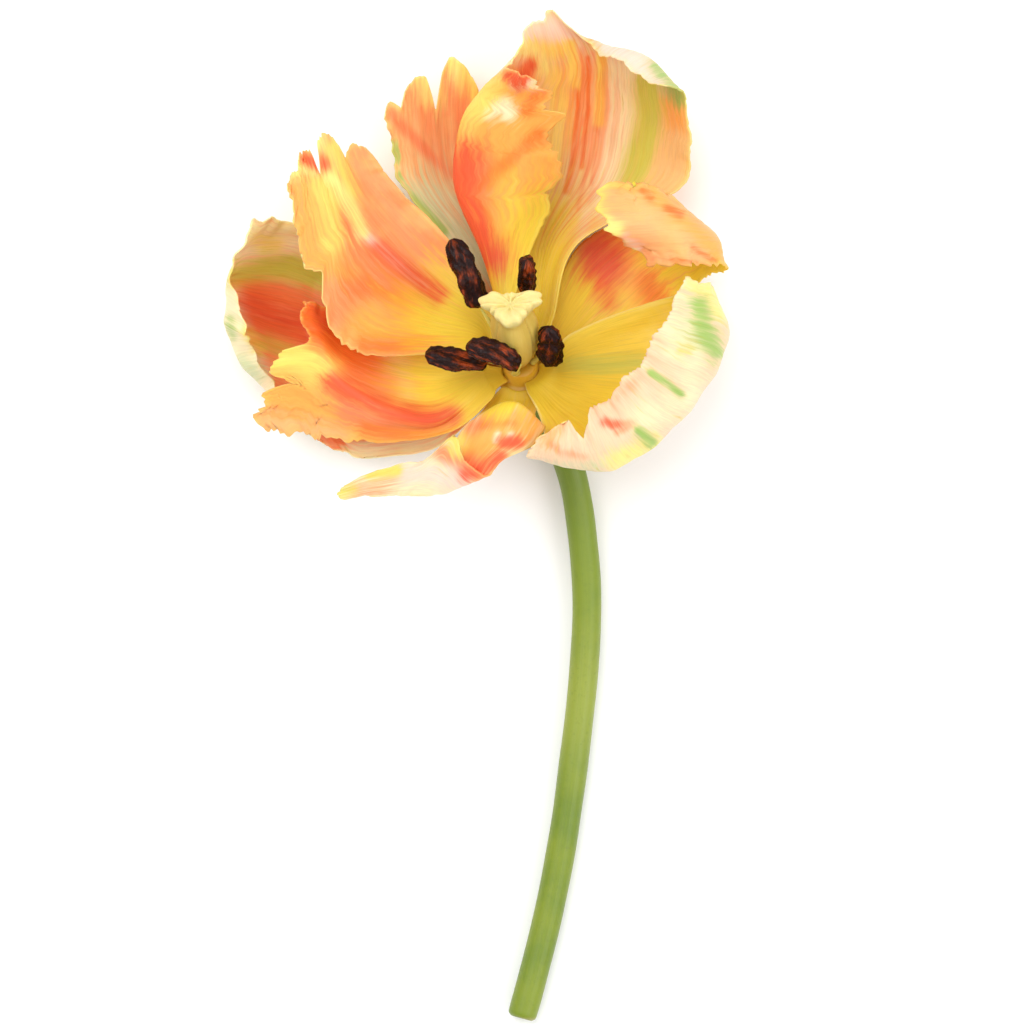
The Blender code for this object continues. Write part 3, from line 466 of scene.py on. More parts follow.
        ("flame", "face", 6.4, 1.0, [(29, 65), (31, 60)]),
        ("flame", "face", 3.4, 0.6, [(33, 58), (32, 52)]),
        ("lemon", "face", 1.2, 1.0, [(36, 43), (39, 42.4)]),
        ("yellow", "back", 3.0, 1.0, [(29, 78.4), (27.4, 74), (28.6, 70)]),
        ("lemon", "back", 2.2, 1.0, [(30, 69.4), (33.6, 68.6)]),
        ("coral", "back", 2.6, 0.8, [(34, 67), (38, 64), (41, 60.6)]),
        ("pink", "back", 1.8, 0.6, [(36, 66.4), (38.6, 64)]),
        ("orange", "back", 2.4, 0.8, [(33, 79.6), (42, 77.4), (50, 71), (57, 64), (59, 59)]),
        ("deep", "back", 1.2, 0.7, [(40, 77.4), (42, 76)]),
        ("deep", "back", 1.3, 0.8, [(46, 73.4), (49, 72)]),
        ("deep", "back", 0.9, 0.7, [(47, 61), (53, 60.4), (59, 58.4)]),
        ("deep", "back", 0.9, 0.7, [(52, 64), (57, 61)]),
    ],
}

# The colour under a tepal's strokes on its face and on its back, and that of its thin margin
GROUNDS = {
    "tepal_top": ("tan", "orange", "lemon"),
    "tepal_top_left": ("salmon", "tan", "lemon"),
    "tepal_upper_left": ("salmon", "lemon", "lemon"),
    "tepal_far_left": ("coral", "cream", "lemon"),
    "tepal_lower_left": ("orange", "peach", "yellow"),
    "tepal_bottom": ("cream", "cream", "lemon"),
    "tepal_right": ("gold", "blush", "cream"),
    "tepal_upper_right": ("gold", "peach", "yellow"),
}

# Fringe of each tepal: depth in mm and number of teeth along its end, its first and its last side
FRINGES = {
    "tepal_top": (0.9, 38, 2.6, 30, 0.6, 34),
    "tepal_top_left": (0.6, 26, 1.0, 20, 0.2, 16),
    "tepal_upper_left": (1.3, 34, 1.6, 34, 0.3, 18),
    "tepal_far_left": (0.7, 34, 0.8, 26, 0.7, 26),
    "tepal_lower_left": (2.2, 40, 1.5, 34, 0.7, 24),
    "tepal_bottom": (0.5, 10, 0.7, 40, 0.5, 34),
    "tepal_right": (1.2, 56, 0.9, 20, 0.9, 20),
    "tepal_upper_right": (1.3, 28, 1.6, 38, 2.2, 34),
}

# Height in mm of the ruffles along each tepal's first side, last side and end
RUFFLES = {
    "tepal_top": (0.5, 0.35, 0.6),
    "tepal_top_left": (0.4, 0.1, 0.4),
    "tepal_upper_left": (0.5, 0.12, 0.6),
    "tepal_far_left": (0.4, 0.5, 0.6),
    "tepal_lower_left": (0.5, 0.4, 0.6),
    "tepal_bottom": (0.35, 0.35, 0.2),
    "tepal_right": (0.4, 0.4, 0.7),
    "tepal_upper_right": (0.6, 0.5, 0.5),
}


def spline_weights(t, count):
    """Catmull-Rom weights of each of count evenly numbered points at the places t."""
    low = np.clip(np.floor(t).astype(int), 0, count - 2)
    f = t - low
    pieces = [
        -0.5 * f ** 3 + f ** 2 - 0.5 * f,
        1.5 * f ** 3 - 2.5 * f ** 2 + 1,
        -1.5 * f ** 3 + 2 * f ** 2 + 0.5 * f,
        0.5 * f ** 3 - 0.5 * f ** 2,
    ]
    weights = np.zeros((len(t), count + 2))
    rows = np.arange(len(t))
    for step, piece in enumerate(pieces):
        np.add.at(weights, (rows, low + step), piece)
    # a point beyond each end, mirrored through it
    inner = weights[:, 1:-1].copy()
    inner[:, 0] += 2 * weights[:, 0]
    inner[:, 1] -= weights[:, 0]
    inner[:, -1] += 2 * weights[:, -1]
    inner[:, -2] -= weights[:, -1]
    return inner


def ring(angle, radius, along):
    """Point round the flower's axis, at angle degrees from straight up towards the left."""
    turn = math.radians(angle)
    outward = math.cos(turn) * UPWARD + math.sin(turn) * LEFTWARD
    return RECEPTACLE + radius * outward + along * AXIS


def guide_net(tepal):
    """Guide points as an array, rows by columns by 3, with foot and collar as the first rows."""
    (foot, foot_along, collar, collar_along), centre, half = tepal["seat"]
    angles = np.linspace(centre + half, centre - half, len(tepal["rows"][0]))
    first = [ring(angle, foot, foot_along) for angle in angles]
    second = [ring(angle, collar, collar_along) for angle in angles]
    return np.array([first, second] + tepal["rows"], dtype=float)


def length_share(net, axis):
    """Share of the net's length that lies before each of its rows or columns."""
    steps = np.linalg.norm(np.diff(net, axis=axis), axis=2).mean(axis=1 - axis)
    lengths = np.concatenate([[0], np.cumsum(steps)])
    return lengths / lengths[-1]


def full_length(net, axis):
    """Greatest length of the net along one of its two ways."""
    steps = np.linalg.norm(np.diff(net, axis=axis), axis=2)
    return steps.sum(axis=axis).max()


def sheet_points(net, u, v):
    """Points of the middle sheet at shares u across and v along."""
    row_share = length_share(net, 0)
    column_share = length_share(net, 1)
    row = np.interp(v, row_share, np.arange(len(row_share)))
    along = spline_weights(row, len(row_share))
    column = np.interp(u, column_share, np.arange(len(column_share)))
    across = spline_weights(column, len(column_share))
    return np.einsum("nr,nc,rcd->nd", along, across, net)


def outline(points, share):
    """Height of a polyline through points at each share."""
    xs = [p[0] for p in points]
    ys = [p[1] for p in points]
    return np.interp(share, xs, ys)


def grid_normals(points):
    """Unit normals of a grid of points, on the outer side of the tepal."""
    du = np.gradient(points, axis=0)
    dv = np.gradient(points, axis=1)
    normals = np.cross(dv, du)
    return normals / np.linalg.norm(normals, axis=2, keepdims=True)


def fringe(share, count, depth, seed):
    """How far a margin is cut in: sharp notches of uneven depth between pointed teeth."""
    luck = np.random.RandomState(seed)
    places = (np.arange(count + 1) + luck.uniform(-0.32, 0.32, count + 1)) / count
    places[0], places[-1] = 0, 1
    depths = depth * luck.uniform(0.15, 1.0, count + 1) ** 1.3
    lean = luck.uniform(0.25, 0.75, count)
    xs, ys = [], []
    for k in range(count):
        xs += [places[k], places[k] + lean[k] * (places[k + 1] - places[k])]
        ys += [depths[k], 0.12 * depths[k] * luck.uniform(0, 1)]
    return np.interp(share, xs + [1], ys + [depths[-1]])


def ripple(share, waves, seed):
    """Uneven waves between about -1 and 1."""
    luck = np.random.RandomState(seed)
    total = 0
    for weight in (0.5, 0.32, 0.18):
        rate = waves * luck.uniform(0.6, 1.5)
        total = total + weight * np.sin(2 * math.pi * rate * share + luck.uniform(0, 6.3))
    return total


def smooth(x):
    """Soft step: 0 below 0, 1 above 1."""
    x = np.clip(x, 0, 1)
    return x * x * (3 - 2 * x)


def loose_share(vv):
    """How free a tepal's sides are at shares along it: 0 near the foot, 1 from two thirds up."""
    return np.clip((vv - 0.3) * 3, 0, 1)


def cut_shares(name, uu, vv, wide, long, seed):
    """Shares across and along once the margins are cut to lobes, notches and fringe."""
    tepal, loose = TEPALS[name], loose_share(vv)
    end_depth, end_teeth, first_depth, first_teeth, last_depth, last_teeth = FRINGES[name]
    first = outline(tepal["first"], vv) + fringe(vv, first_teeth, first_depth / wide, seed) * loose
    last = outline(tepal["last"], vv) + fringe(vv, last_teeth, last_depth / wide, seed + 1) * loose
    u_cut = uu + first * (1 - uu) ** 3 - last * uu ** 3
    v_cut = vv - (1 - outline(tepal["end"], uu)) * vv ** 3
    v_cut = v_cut - fringe(uu, end_teeth, end_depth / long, seed + 2) * vv ** 8
    return u_cut, v_cut


def swell_heights(name, uu, vv, wide, long, seed):
    """How far each place of a tepal is lifted off its plain sheet."""
    near = np.minimum(uu, 1 - uu)
    loose = loose_share(vv)
    # broad waves of the sides and of the end
    height, side_waves, end_waves = TEPALS[name]["wave"]
    side = np.clip(1 - near * 5, 0, 1) ** 2 * loose
    end = np.clip((vv - 0.8) / 0.2, 0, 1) ** 2
    swell = side * (1 - end) * np.sin(2 * math.pi * side_waves * vv)
    swell = height * (swell + end * np.sin(2 * math.pi * end_waves * uu + 1))
    # ruffles of the margin
    side_edge = smooth(1 - near * wide / 7) * loose
    end_edge = smooth(1 - (1 - vv) * long / 9)
    first_ruffle, last_ruffle, end_ruffle = RUFFLES[name]
    side_ruffle = np.where(uu < 0.5, first_ruffle, last_ruffle)
    swell += side_ruffle * side_edge * (1 - end_edge) * ripple(vv, long / 7, seed + 3)
    swell += end_ruffle * end_edge * ripple(uu, wide / 7, seed + 4)
    # fine ribs, then low folds that run up from the foot
    swell += 0.07 * smooth(vv * 2.5) * ripple(uu + 0.03 * np.sin(5 * vv), wide / 3.2, seed + 5)
    swell += 0.3 * smooth(vv * 2) * ripple(uu * 0.7 + 0.2 * vv, wide / 11, seed + 6)
    return swell


def tepal_grid(name, seed):
    """Fine grid of a tepal's middle points, shares across and along, and distance to the margin."""
    net = guide_net(TEPALS[name])
    wide, long = full_length(net, 1), full_length(net, 0)
    across, along = int(wide / CELL), int(long / CELL)
    uu, vv = np.meshgrid(np.linspace(0, 1, across + 1), np.linspace(0, 1, along + 1), indexing="ij")
    u_cut, v_cut = cut_shares(name, uu, vv, wide, long, seed)
    points = sheet_points(net, u_cut.ravel(), v_cut.ravel()).reshape(uu.shape + (3,))
    swell = swell_heights(name, uu, vv, wide, long, seed)
    points = points + swell[..., None] * grid_normals(points)
    points[..., 2] = np.maximum(points[..., 2], FLOOR)
    margin = np.minimum(np.minimum(uu, 1 - uu) * wide, (1 - vv) * long)
    return points, uu, vv, margin


def sheet_solid(points, thickness):
    """Vertices and triangles of a closed sheet round a grid of middle points."""
    across, along = points.shape[:2]
    offset = grid_normals(points) * thickness[..., None] / 2
    outer = (points + offset).reshape(-1, 3)
    inner = (points - offset).reshape(-1, 3)
    total = across * along
    number = np.arange(total).reshape(across, along)
    a, b = number[:-1, :-1].ravel(), number[1:, :-1].ravel()
    c, d = number[1:, 1:].ravel(), number[:-1, 1:].ravel()
    rim = np.concatenate([number[:, 0], number[-1, 1:], number[-2::-1, -1], number[0, -2:0:-1]])
    after = np.roll(rim, -1)
    triangles = np.concatenate([
        np.stack([a, c, b], axis=1), np.stack([a, d, c], axis=1),
        np.stack([a, b, c], axis=1) + total, np.stack([a, c, d], axis=1) + total,
        np.stack([rim, after, after + total], axis=1),
        np.stack([rim, after + total, rim + total], axis=1),
    ])
    return np.vstack([outer, inner]), triangles


def stroke_reach(spots, line, half_width):
    """How strongly a stroke with soft sides covers each spot, both seen from above."""
    line = np.array(line, dtype=float)
    near = np.full(len(spots), 1e9)
    for start, stop in zip(line[:-1], line[1:]):
        way = stop - start
        share = np.clip((spots - start) @ way / max(way @ way, 1e-9), 0, 1)
        gap = np.linalg.norm(spots - start - share[:, None] * way, axis=1)
        near = np.minimum(near, gap)
    return np.exp(-0.75 * (near / half_width) ** 2)


def stroke_masks(name, vertices):
    """Masks of the tepal's face and of each stroke colour; the back's vertices come first."""
    is_face = np.arange(len(vertices)) >= len(vertices) // 2
    masks = {"face": is_face.astype(float)}
    for colour, side, half_width, strength, line in STROKES[name]:
        cover = strength * stroke_reach(vertices[:, :2], line, half_width)
        if side == "face":
            cover = cover * is_face
        if side == "back":
            cover = cover * ~is_face
        key = "paint_" + colour
        masks[key] = np.maximum(masks.get(key, 0), cover)
    return masks


def add_piece(name, vertices, triangles, uv, masks, material, node):
    """One smooth piece that stands for a CAD node, with its UV map and masks for the material."""
    mesh = bpy.data.meshes.new(name)
    mesh.vertices.add(len(vertices))
    mesh.vertices.foreach_set("co", ((vertices - MIDDLE) * MM).ravel())
    triangles = np.asarray(triangles, dtype=np.int32)
    mesh.loops.add(triangles.size)
    mesh.loops.foreach_set("vertex_index", triangles.ravel())
    mesh.polygons.add(len(triangles))
    mesh.polygons.foreach_set("loop_start", np.arange(0, triangles.size, 3))
    mesh.polygons.foreach_set("use_smooth", np.ones(len(triangles), dtype=bool))
    mesh.update(calc_edges=True)
    layer = mesh.uv_layers.new(name="Grain")
    layer.data.foreach_set("uv", uv[triangles.ravel()].ravel())
    for mask, values in masks.items():
        attribute = mesh.attributes.new(mask, "FLOAT", "POINT")
        attribute.data.foreach_set("value", np.asarray(values, dtype=np.float32))
    mesh.validate()
    mesh.materials.append(material)
    piece = bpy.data.objects.new(name, mesh)
    bpy.context.scene.collection.objects.link(piece)
    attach(piece, "root")
    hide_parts(node)
    return piece


def linear(colour):
    """A daylight colour out of 255 as the linear colour that the shader takes."""
    parts = [c / 255 for c in colour]
    parts = [c / 12.92 if c <= 0.04045 else ((c + 0.055) / 1.055) ** 2.4 for c in parts]
    return (*parts, 1)


class Nodes:
    """Short ways to add and join the nodes of one material."""

    def __init__(self, name):
        self.material = bpy.data.materials.new(name)
        self.material.use_nodes = True
        self.tree = self.material.node_tree
        self.shader = self.tree.nodes["Principled BSDF"]

    def add(self, kind, **settings):
        node = self.tree.nodes.new(kind)
        for key, value in settings.items():
            setattr(node, key, value)
        return node

    def put(self, socket, value):
        """Joins a socket to another, or sets it to a plain value."""
        if isinstance(value, bpy.types.NodeSocket):
            self.tree.links.new(value, socket)
        else:
            socket.default_value = value

    def noise(self, place, scale, detail=4.0, rough=0.5):
        node = self.add("ShaderNodeTexNoise")
        self.put(node.inputs["Vector"], place)
        node.inputs["Scale"].default_value = scale
        node.inputs["Detail"].default_value = detail
        node.inputs["Roughness"].default_value = rough
        return node.outputs["Fac"]

    def stretched(self, place, scale):
        node = self.add("ShaderNodeMapping")
        self.put(node.inputs["Vector"], place)
        node.inputs["Scale"].default_value = scale
        return node.outputs["Vector"]

    def grain(self):
        return self.add("ShaderNodeUVMap", uv_map="Grain").outputs["UV"]

    def spot(self):
        """Place in the scene, in metres."""
        return self.add("ShaderNodeNewGeometry").outputs["Position"]

    def mask(self, name):
        return self.add("ShaderNodeAttribute", attribute_name=name).outputs["Fac"]

    def math(self, operation, a, b=0.0, c=0.0):
        node = self.add("ShaderNodeMath", operation=operation)
        for socket, value in zip(node.inputs, (a, b, c)):
            self.put(socket, value)
        return node.outputs["Value"]

    def times(self, a, b):
        return self.math("MULTIPLY", a, b)

    def scaled(self, value, by, plus):
        return self.math("MULTIPLY_ADD", value, by, plus)

    def step(self, value, low, high):
        """Smooth rise from 0 to 1 between low and high."""
        node = self.add("ShaderNodeMapRange", interpolation_type="SMOOTHSTEP")
        self.put(node.inputs["Value"], value)
        node.inputs["From Min"].default_value = low
        node.inputs["From Max"].default_value = high
        return node.outputs["Result"]

    def mix(self, share, a, b, blend="MIX"):
        node = self.add("ShaderNodeMix", data_type="RGBA", blend_type=blend)
        for socket, value in ((node.inputs[0], share), (node.inputs[6], a), (node.inputs[7], b)):
            self.put(socket, value)
        return node.outputs[2]

    def bump(self, height, strength, distance, normal=None):
        node = self.add("ShaderNodeBump")
        self.put(node.inputs["Height"], height)
        node.inputs["Strength"].default_value = strength
        node.inputs["Distance"].default_value = distance
        if normal is not None:
            self.put(node.inputs["Normal"], normal)
        return node.outputs["Normal"]

    def finish(self, colour, rough, normal, glow=None, level=0.4):
        """Joins the results to the shader; glow is how deep light sinks in, in metres."""
        self.put(self.shader.inputs["Base Color"], colour)
        self.put(self.shader.inputs["Roughness"], rough)
        self.put(self.shader.inputs["Normal"], normal)
        self.shader.inputs["Specular IOR Level"].default_value = level
        if glow:
            self.shader.inputs["Subsurface Weight"].default_value = 0.4
            self.shader.inputs["Subsurface Radius"].default_value = (1.0, 0.7, 0.4)
            self.shader.inputs["Subsurface Scale"].default_value = glow
        return self.material


def petal_material(name, masks):
    """Ground colour of face and back, stroke colours broken into streaks, margin, then veins."""
    n = Nodes(name)
    grain = n.grain()
    streak = n.noise(n.stretched(grain, (4.0, 0.3, 1)), 2.0, 5, 0.6)
    fine = n.noise(n.stretched(grain, (11.0, 0.5, 1)), 2.4, 3, 0.55)
    cloud = n.noise(n.spot(), 110.0, 3, 0.5)
    face, back, rim = (linear(PALETTE[c]) for c in GROUNDS[name])
    colour = n.mix(n.mask("face"), back, face)
    colour = n.mix(n.times(n.step(cloud, 0.42, 0.7), 0.22), colour, rim)
    wander = n.math("ADD", n.times(streak, 1.4), n.times(cloud, 0.4))
    wander = n.math("SUBTRACT", wander, 0.9)
    for paint in PALETTE:
        mask = "paint_" + paint
        if mask in masks:
            cover = n.step(n.math("ADD", n.mask(mask), wander), 0.1, 1.05)
            colour = n.mix(cover, colour, linear(PALETTE[paint]))
    # deep orange lines where a tepal has stripes
    if "paint_stripe" in masks:
        lines = n.step(n.noise(n.stretched(grain, (3.4, 0.1, 1)), 2.0, 2, 0.4), 0.47, 0.6)
        lines = n.times(lines, n.times(n.mask("paint_stripe"), 0.55))
        colour = n.mix(lines, colour, linear(PALETTE["deep"]))
    colour = n.mix(n.times(n.mask("foot"), 0.65), colour, linear(PALETTE["amber"]))
    margin = n.times(n.mask("rim"), n.step(streak, 0.36, 0.62))
    colour = n.mix(n.times(margin, 0.4), colour, rim)
    # veins: fine lines, a little deeper in colour, with paler tissue between them
    veins = n.step(fine, 0.36, 0.64)
    depth = n.scaled(veins, 0.12, 0.9)
    depth = n.times(depth, n.scaled(cloud, 0.12, 0.96))
    colour = n.mix(1.0, colour, n.mix(depth, (0, 0, 0, 1), (1, 1, 1, 1)), "MULTIPLY")
    rough = n.scaled(streak, 0.25, 0.4)
    normal = n.bump(fine, 0.25, 0.0002)
    normal = n.bump(n.noise(n.spot(), 900.0, 2), 0.12, 0.0001, normal)
    return n.finish(colour, rough, normal, glow=0.0016, level=0.35)


def add_tepals():
    """Every tepal, with a UV map in centimetres that runs across it and then along it."""
    for number, (name, tepal) in enumerate(TEPALS.items()):
        points, uu, vv, margin = tepal_grid(name, 11 * number + 5)
        thickness = THIN + (THICK - THIN) * smooth(margin / 6)
        vertices, triangles = sheet_solid(points, thickness)
        vertices[:, 2] = np.maximum(vertices[:, 2], 0)
        net = guide_net(tepal)
        sizes = (full_length(net, 1) / 10, full_length(net, 0) / 10)
        uv = np.stack([uu.ravel() * sizes[0], vv.ravel() * sizes[1]], axis=1)
        masks = stroke_masks(name, vertices)
        material = petal_material(name, set(masks))
        masks["foot"] = np.tile(smooth(1 - vv.ravel() * sizes[1] / 2.4), 2)
        masks["rim"] = np.tile(smooth(1 - margin.ravel() / 2.2), 2)
        uv = np.tile(uv, (2, 1))
        add_piece("look_" + name, vertices, triangles, uv, masks, material, name)


def tube(centres, widths, depths, sides, twist=0.0, tilt=(1.0, 0.0, 0.0), rough=None):
    """Closed tube through centres, oval in section; rough gives each ring's own change of reach."""
    centres = np.array(centres, dtype=float)
    tangents = np.gradient(centres, axis=0)
    tangents /= np.linalg.norm(tangents, axis=1, keepdims=True)
    side = np.array(tilt, dtype=float)
    turns = 2 * math.pi * np.arange(sides) / sides
    rings = []
    for k, (centre, tangent) in enumerate(zip(centres, tangents)):
        side = side - side.dot(tangent) * tangent
        side = side / np.linalg.norm(side)
        other = np.cross(tangent, side)
        turn = turns + twist * k / (len(centres) - 1)
        reach = 1 if rough is None else rough[k]
        along_side = (widths[k] * np.cos(turn) * reach)[:, None] * side
        rings.append(centre + along_side + (depths[k] * np.sin(turn) * reach)[:, None] * other)
    vertices = np.vstack(rings + [centres[:1], centres[-1:]])
    return vertices, tube_triangles(len(centres), sides), tube_uv(len(centres), sides)


def tube_uv(rings, sides):
    """Share round the tube and share along it, for each vertex and then the two end centres."""
    along = np.repeat(np.linspace(0, 1, rings), sides)
    around = np.tile(np.arange(sides) / sides, rings)
    return np.vstack([np.stack([around, along], axis=1), [[0.5, 0.0], [0.5, 1.0]]])


def tube_triangles(rings, sides):
    """Walls between the rings, then a fan at each end; the two end centres come last."""
    triangles = []
    for k in range(rings - 1):
        for s in range(sides):
            a = k * sides + s
            b = k * sides + (s + 1) % sides
            triangles += [(a, b, b + sides), (a, b + sides, a + sides)]
    first = rings * sides
    last_ring = (rings - 1) * sides
    for s in range(sides):
        after = (s + 1) % sides
        triangles.append((first, after, s))
        triangles.append((first + 1, last_ring + s, last_ring + after))
    return triangles


def add_stem():
    """Slightly ridged stem with a soft cut edge, widening into the receptacle's collars."""
    line = np.array(STEM_LINE)
    t = np.linspace(0, len(line) - 1, 180)
    centres = list(spline_weights(t, len(line)) @ line)
    radii = list(STEM_RADIUS + 0.06 * ripple(t / 11, 9, 3))
    radii[0], radii[1], radii[2] = STEM_RADIUS - 0.9, STEM_RADIUS - 0.2, STEM_RADIUS - 0.05
    for radius, along in RECEPTACLE_RINGS:
        centres.append(RECEPTACLE + along * AXIS)
        radii.append(radius)
    sides = 64
    ridges = 1 + 0.006 * ripple(np.arange(sides) / sides, 9, 8)
    vertices, triangles, uv = tube(centres, radii, radii, sides, rough=[ridges] * len(centres))
    vertices[:, 2] = np.maximum(vertices[:, 2], 0)
    ahead = (vertices - RECEPTACLE) @ AXIS
    # where the stem is deeper green, paler with a painted highlight on its upper side, golden under the
    # tepals, and cut
    masks = {
        "bloom": smooth((vertices[:, 1] + 40) / 50),
        "pale_top_highlight": smooth(1 - abs(vertices[:, 1] + 45) / 30) * smooth((vertices[:, 2] - 1) / 4),
        "seat": smooth((ahead + 2.6) / 1.6) * (vertices[:, 1] > 20),
        "cut": smooth((-120.6 - vertices[:, 1]) / 0.5),
    }
    add_piece("look_stem", vertices, triangles, uv, masks, stem_material(), "stem")


def stem_material():
    """Smooth waxy green with fine lines along it, paler towards the cut end, where a painted highlight
    lies along its upper side.
    """
    n = Nodes("stem")
    grain = n.grain()
    lines = n.noise(n.stretched(grain, (60, 3.0, 1)), 1.0, 4, 0.6)
    patches = n.noise(n.spot(), 60.0, 4, 0.55)
    specks = n.noise(n.spot(), 900.0, 2, 0.5)
    colour = n.mix(n.step(patches, 0.35, 0.65), linear((98, 122, 8)), linear((122, 138, 18)))
    # paler stretch along the stem; its lightness on the upper side only is a painted highlight
    colour = n.mix(n.times(n.mask("pale_top_highlight"), 0.6), colour, linear((150, 158, 56)))
    colour = n.mix(n.times(n.mask("bloom"), 0.6), colour, linear((104, 128, 18)))
    colour = n.mix(n.times(n.step(lines, 0.45, 0.7), 0.15), colour, linear((140, 152, 40)))
    colour = n.mix(n.times(n.step(specks, 0.55, 0.75), 0.2), colour, linear((92, 110, 18)))
    colour = n.mix(n.mask("cut"), colour, linear((140, 142, 56)))
    colour = n.mix(n.mask("seat"), colour, linear((214, 166, 42)))
    normal = n.bump(lines, 0.2, 0.0003)
    normal = n.bump(specks, 0.1, 0.0001, normal)
    return n.finish(colour, n.scaled(patches, 0.2, 0.32), normal, glow=0.001, level=0.5)


def add_anther(place, ends, seed):
    """Long dark pollen sac, ridged lengthwise, with one deep groove, a twist and rough grains."""
    line = np.array(ends, dtype=float)
    rings, sides = 90, 64
    share = np.linspace(0, 1, rings)
    centres = spline_weights(share * 2, 3) @ line
    swell = outline(ANTHER_SWELL, share)
    swell = swell * (1 + 0.08 * ripple(share, 4, seed))
    luck = np.random.RandomState(seed)
    turns = 2 * math.pi * np.arange(sides) / sides
    rough = []
    for k in range(rings):
        lobes = 1 + 0.14 * np.cos(4 * turns) - 0.16 * np.exp(-((turns - math.pi / 2) / 0.3) ** 2)
        grit = 0.05 * np.sin(9 * turns + 40 * share[k] + seed) + luck.uniform(-0.035, 0.035, sides)
        rough.append(lobes + grit)
    tilt = np.cross(line[2] - line[0], AXIS)
    widths, depths = ANTHER_HALF_WIDTH * swell, ANTHER_HALF_DEPTH * swell * 1.1
    vertices, triangles, uv = tube(centres, widths, depths, sides, 1.4, tilt, rough)
    node = "anther_" + place
    material = anther_material(node)
    add_piece("look_" + node, vertices, triangles, uv, {}, material, node)


def anther_material(name):
    """Almost black, with red-brown ridges that are a painted highlight, and dusty grains."""
    n = Nodes(name)
    grain = n.grain()
    ridges = n.noise(n.stretched(grain, (10, 1.8, 1)), 1.0, 5, 0.65)
    grit = n.noise(n.spot(), 1600.0, 3, 0.6)
    patches = n.noise(n.spot(), 260.0, 3, 0.5)
    # the red-brown on the ridges is a painted highlight
    colour = n.mix(n.step(ridges, 0.48, 0.66), linear((30, 5, 3)), linear((156, 62, 22)))
    colour = n.mix(n.times(n.step(patches, 0.46, 0.6), 0.85), colour, linear((26, 4, 3)))
    colour = n.mix(n.times(n.step(grit, 0.6, 0.75), 0.25), colour, linear((150, 62, 26)))
    normal = n.bump(ridges, 0.6, 0.0006)
    normal = n.bump(grit, 0.5, 0.0002, normal)
    return n.finish(colour, n.scaled(grit, 0.4, 0.15), normal, level=0.18)


def add_filament(place, angle, anther):
    """Thin stalk from the domed post to just below the lower end of its anther."""
    lower = np.array(anther[0], dtype=float)
    upward = np.array(anther[1], dtype=float) - lower
    top = lower - FILAMENT_GAP * upward / np.linalg.norm(upward)
    radius, along = FILAMENT_SEAT
    bend = ring(angle, radius + 2.4, along + 2.6)
    line = np.array([ring(angle, radius, along), bend, 0.5 * (bend + top), top])
    rings, sides = 40, 20
    centres = spline_weights(np.linspace(0, 3, rings), 4) @ line
    radii = FILAMENT_RADIUS * outline(FILAMENT_TAPER, np.linspace(0, 1, rings))
    vertices, triangles, uv = tube(centres, radii, radii, sides, tilt=LEFTWARD)
    n = Nodes("filament_" + place)
    lines = n.noise(n.stretched(n.grain(), (12, 2, 1)), 1.0, 3)
    colour = n.mix(lines, linear((196, 176, 60)), linear((222, 214, 120)))
    rough = n.scaled(lines, 0.2, 0.35)
    material = n.finish(colour, rough, n.bump(lines, 0.2, 0.0002), glow=0.0006)
    node = "filament_" + place
    add_piece("look_" + node, vertices, triangles, uv, {}, material, node)


def add_pistil():
    """Three-sided ovary with a raised lobe on each side, under a frilled three-lobed stigma."""
    sides, rings = 120, 110
    along_guides = [r[0] for r in PISTIL_RINGS]
    steps = np.linspace(0, len(PISTIL_RINGS) - 1, rings)
    table = spline_weights(steps, len(PISTIL_RINGS)) @ np.array(PISTIL_RINGS)
    turn = 2 * math.pi * np.arange(sides) / sides
    vertices = []
    for along, radius, lobing, flat in table:
        frill = smooth((along - 23.0) / 2.5)
        lobe = lobing * np.cos(3 * turn + math.pi)
        groove = -0.09 * (1 - frill) * np.exp(-(np.cos(1.5 * turn + math.pi / 2) / 0.14) ** 2)
        ruffle = frill * 0.07 * ripple(turn / (2 * math.pi), 17, 5)
        lift = frill * 0.5 * ripple(turn / (2 * math.pi), 11, 9)
        reach = max(radius, 0.05) * (1 + lobe + groove + ruffle)
        outward = flat * np.cos(turn)[:, None] * UPWARD + np.sin(turn)[:, None] * LEFTWARD
        vertices.append(RECEPTACLE + reach[:, None] * outward + (along + lift)[:, None] * AXIS)
    vertices.append(ring(0, 0, along_guides[0])[None])
    vertices.append(ring(0, 0, along_guides[-1] - 0.2)[None])
    vertices = np.vstack(vertices)
    uv = tube_uv(rings, sides)
    ahead = (vertices - RECEPTACLE) @ AXIS
    masks = {"stigma": smooth((ahead - 22.6) / 2.4), "foot": smooth((10 - ahead) / 8)}
    triangles = tube_triangles(rings, sides)
    material = pistil_material()
    add_piece("look_pistil", vertices, triangles, uv, masks, material, "pistil")


def pistil_material():
    """Olive yellow ovary with fine lines, and a cream downy stigma."""
    n = Nodes("pistil")
    lines = n.noise(n.stretched(n.grain(), (26, 3, 1)), 1.0, 4, 0.6)
    down = n.noise(n.spot(), 1500.0, 3, 0.6)
    patches = n.noise(n.spot(), 200.0, 3)
    colour = n.mix(lines, linear((190, 160, 62)), linear((218, 190, 100)))
    colour = n.mix(n.times(n.mask("foot"), 0.9), colour, linear((160, 112, 14)))
    stigma = n.mix(patches, linear((216, 196, 112)), linear((230, 214, 150)))
    colour = n.mix(n.mask("stigma"), colour, stigma)
    normal = n.bump(lines, 0.25, 0.0003)
    normal = n.bump(down, 0.25, 0.00012, normal)
    return n.finish(colour, n.scaled(down, 0.25, 0.38), normal, glow=0.001)


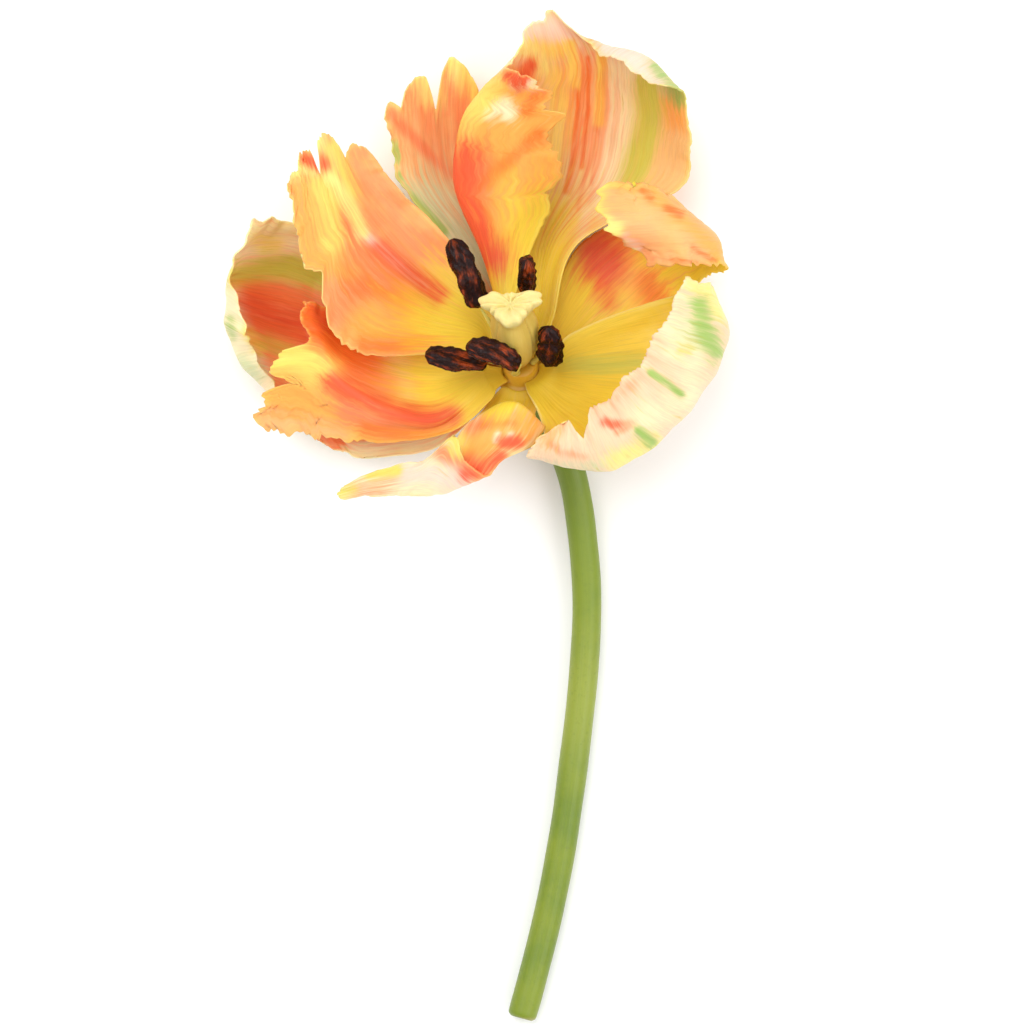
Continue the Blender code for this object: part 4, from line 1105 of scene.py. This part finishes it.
def add_floor():
    bpy.ops.mesh.primitive_plane_add(size=STUDIO_SIZE, location=(0, 0, -STUDIO_DROP))
    floor = bpy.context.object
    floor.name = "floor"
    n = Nodes("floor")
    mottle = n.noise(n.spot(), 3.0, 2)
    colour = n.mix(mottle, (0.93, 0.93, 0.93, 1), (0.96, 0.96, 0.96, 1))
    n.put(n.shader.inputs["Base Color"], colour)
    n.shader.inputs["Roughness"].default_value = 0.9
    floor.data.materials.append(n.material)


def add_light(name, place, size, power, aim=(0, 0.04, 0.02)):
    data = bpy.data.lights.new(name, "AREA")
    data.shape = "DISK"
    data.size = size
    data.energy = power
    light = bpy.data.objects.new(name, data)
    light.location = place
    way = np.array(aim, dtype=float) - np.array(place, dtype=float)
    light.rotation_mode = "QUATERNION"
    light.rotation_quaternion = Vector(way).to_track_quat("-Z", "Y")
    bpy.context.scene.collection.objects.link(light)


def add_lights():
    add_light("key", (-0.5, 0.7, 1.7), 1.6, 21)
    add_light("fill", (1.1, -0.3, 1.2), 1.4, 11)
    world = bpy.data.worlds.new("studio")
    world.use_nodes = True
    background = world.node_tree.nodes["Background"]
    background.inputs["Color"].default_value = (1, 1, 1, 1)
    background.inputs["Strength"].default_value = 0.85
    bpy.context.scene.world = world


def add_camera():
    """Looks straight down with a long lens, so that the photograph's width is the view's."""
    data = bpy.data.cameras.new("camera")
    data.sensor_width = SENSOR_WIDTH
    data.lens = SENSOR_WIDTH * (CAMERA_HEIGHT - BLOOM_HEIGHT) / PHOTO_WIDTH
    data.clip_start = 0.05
    data.clip_end = 100.0
    camera = bpy.data.objects.new("camera", data)
    camera.location = (PHOTO_CENTRE[0] * MM, PHOTO_CENTRE[1] * MM, CAMERA_HEIGHT * MM)
    bpy.context.scene.collection.objects.link(camera)
    bpy.context.scene.camera = camera


def main():
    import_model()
    add_stem()
    add_tepals()
    add_pistil()
    for number, (place, (angle, anther)) in enumerate(STAMENS.items()):
        add_filament(place, angle, anther)
        add_anther(place, anther, 31 + number)
    add_floor()
    add_lights()
    add_camera()
    bpy.context.scene.view_settings.view_transform = "Standard"


main()
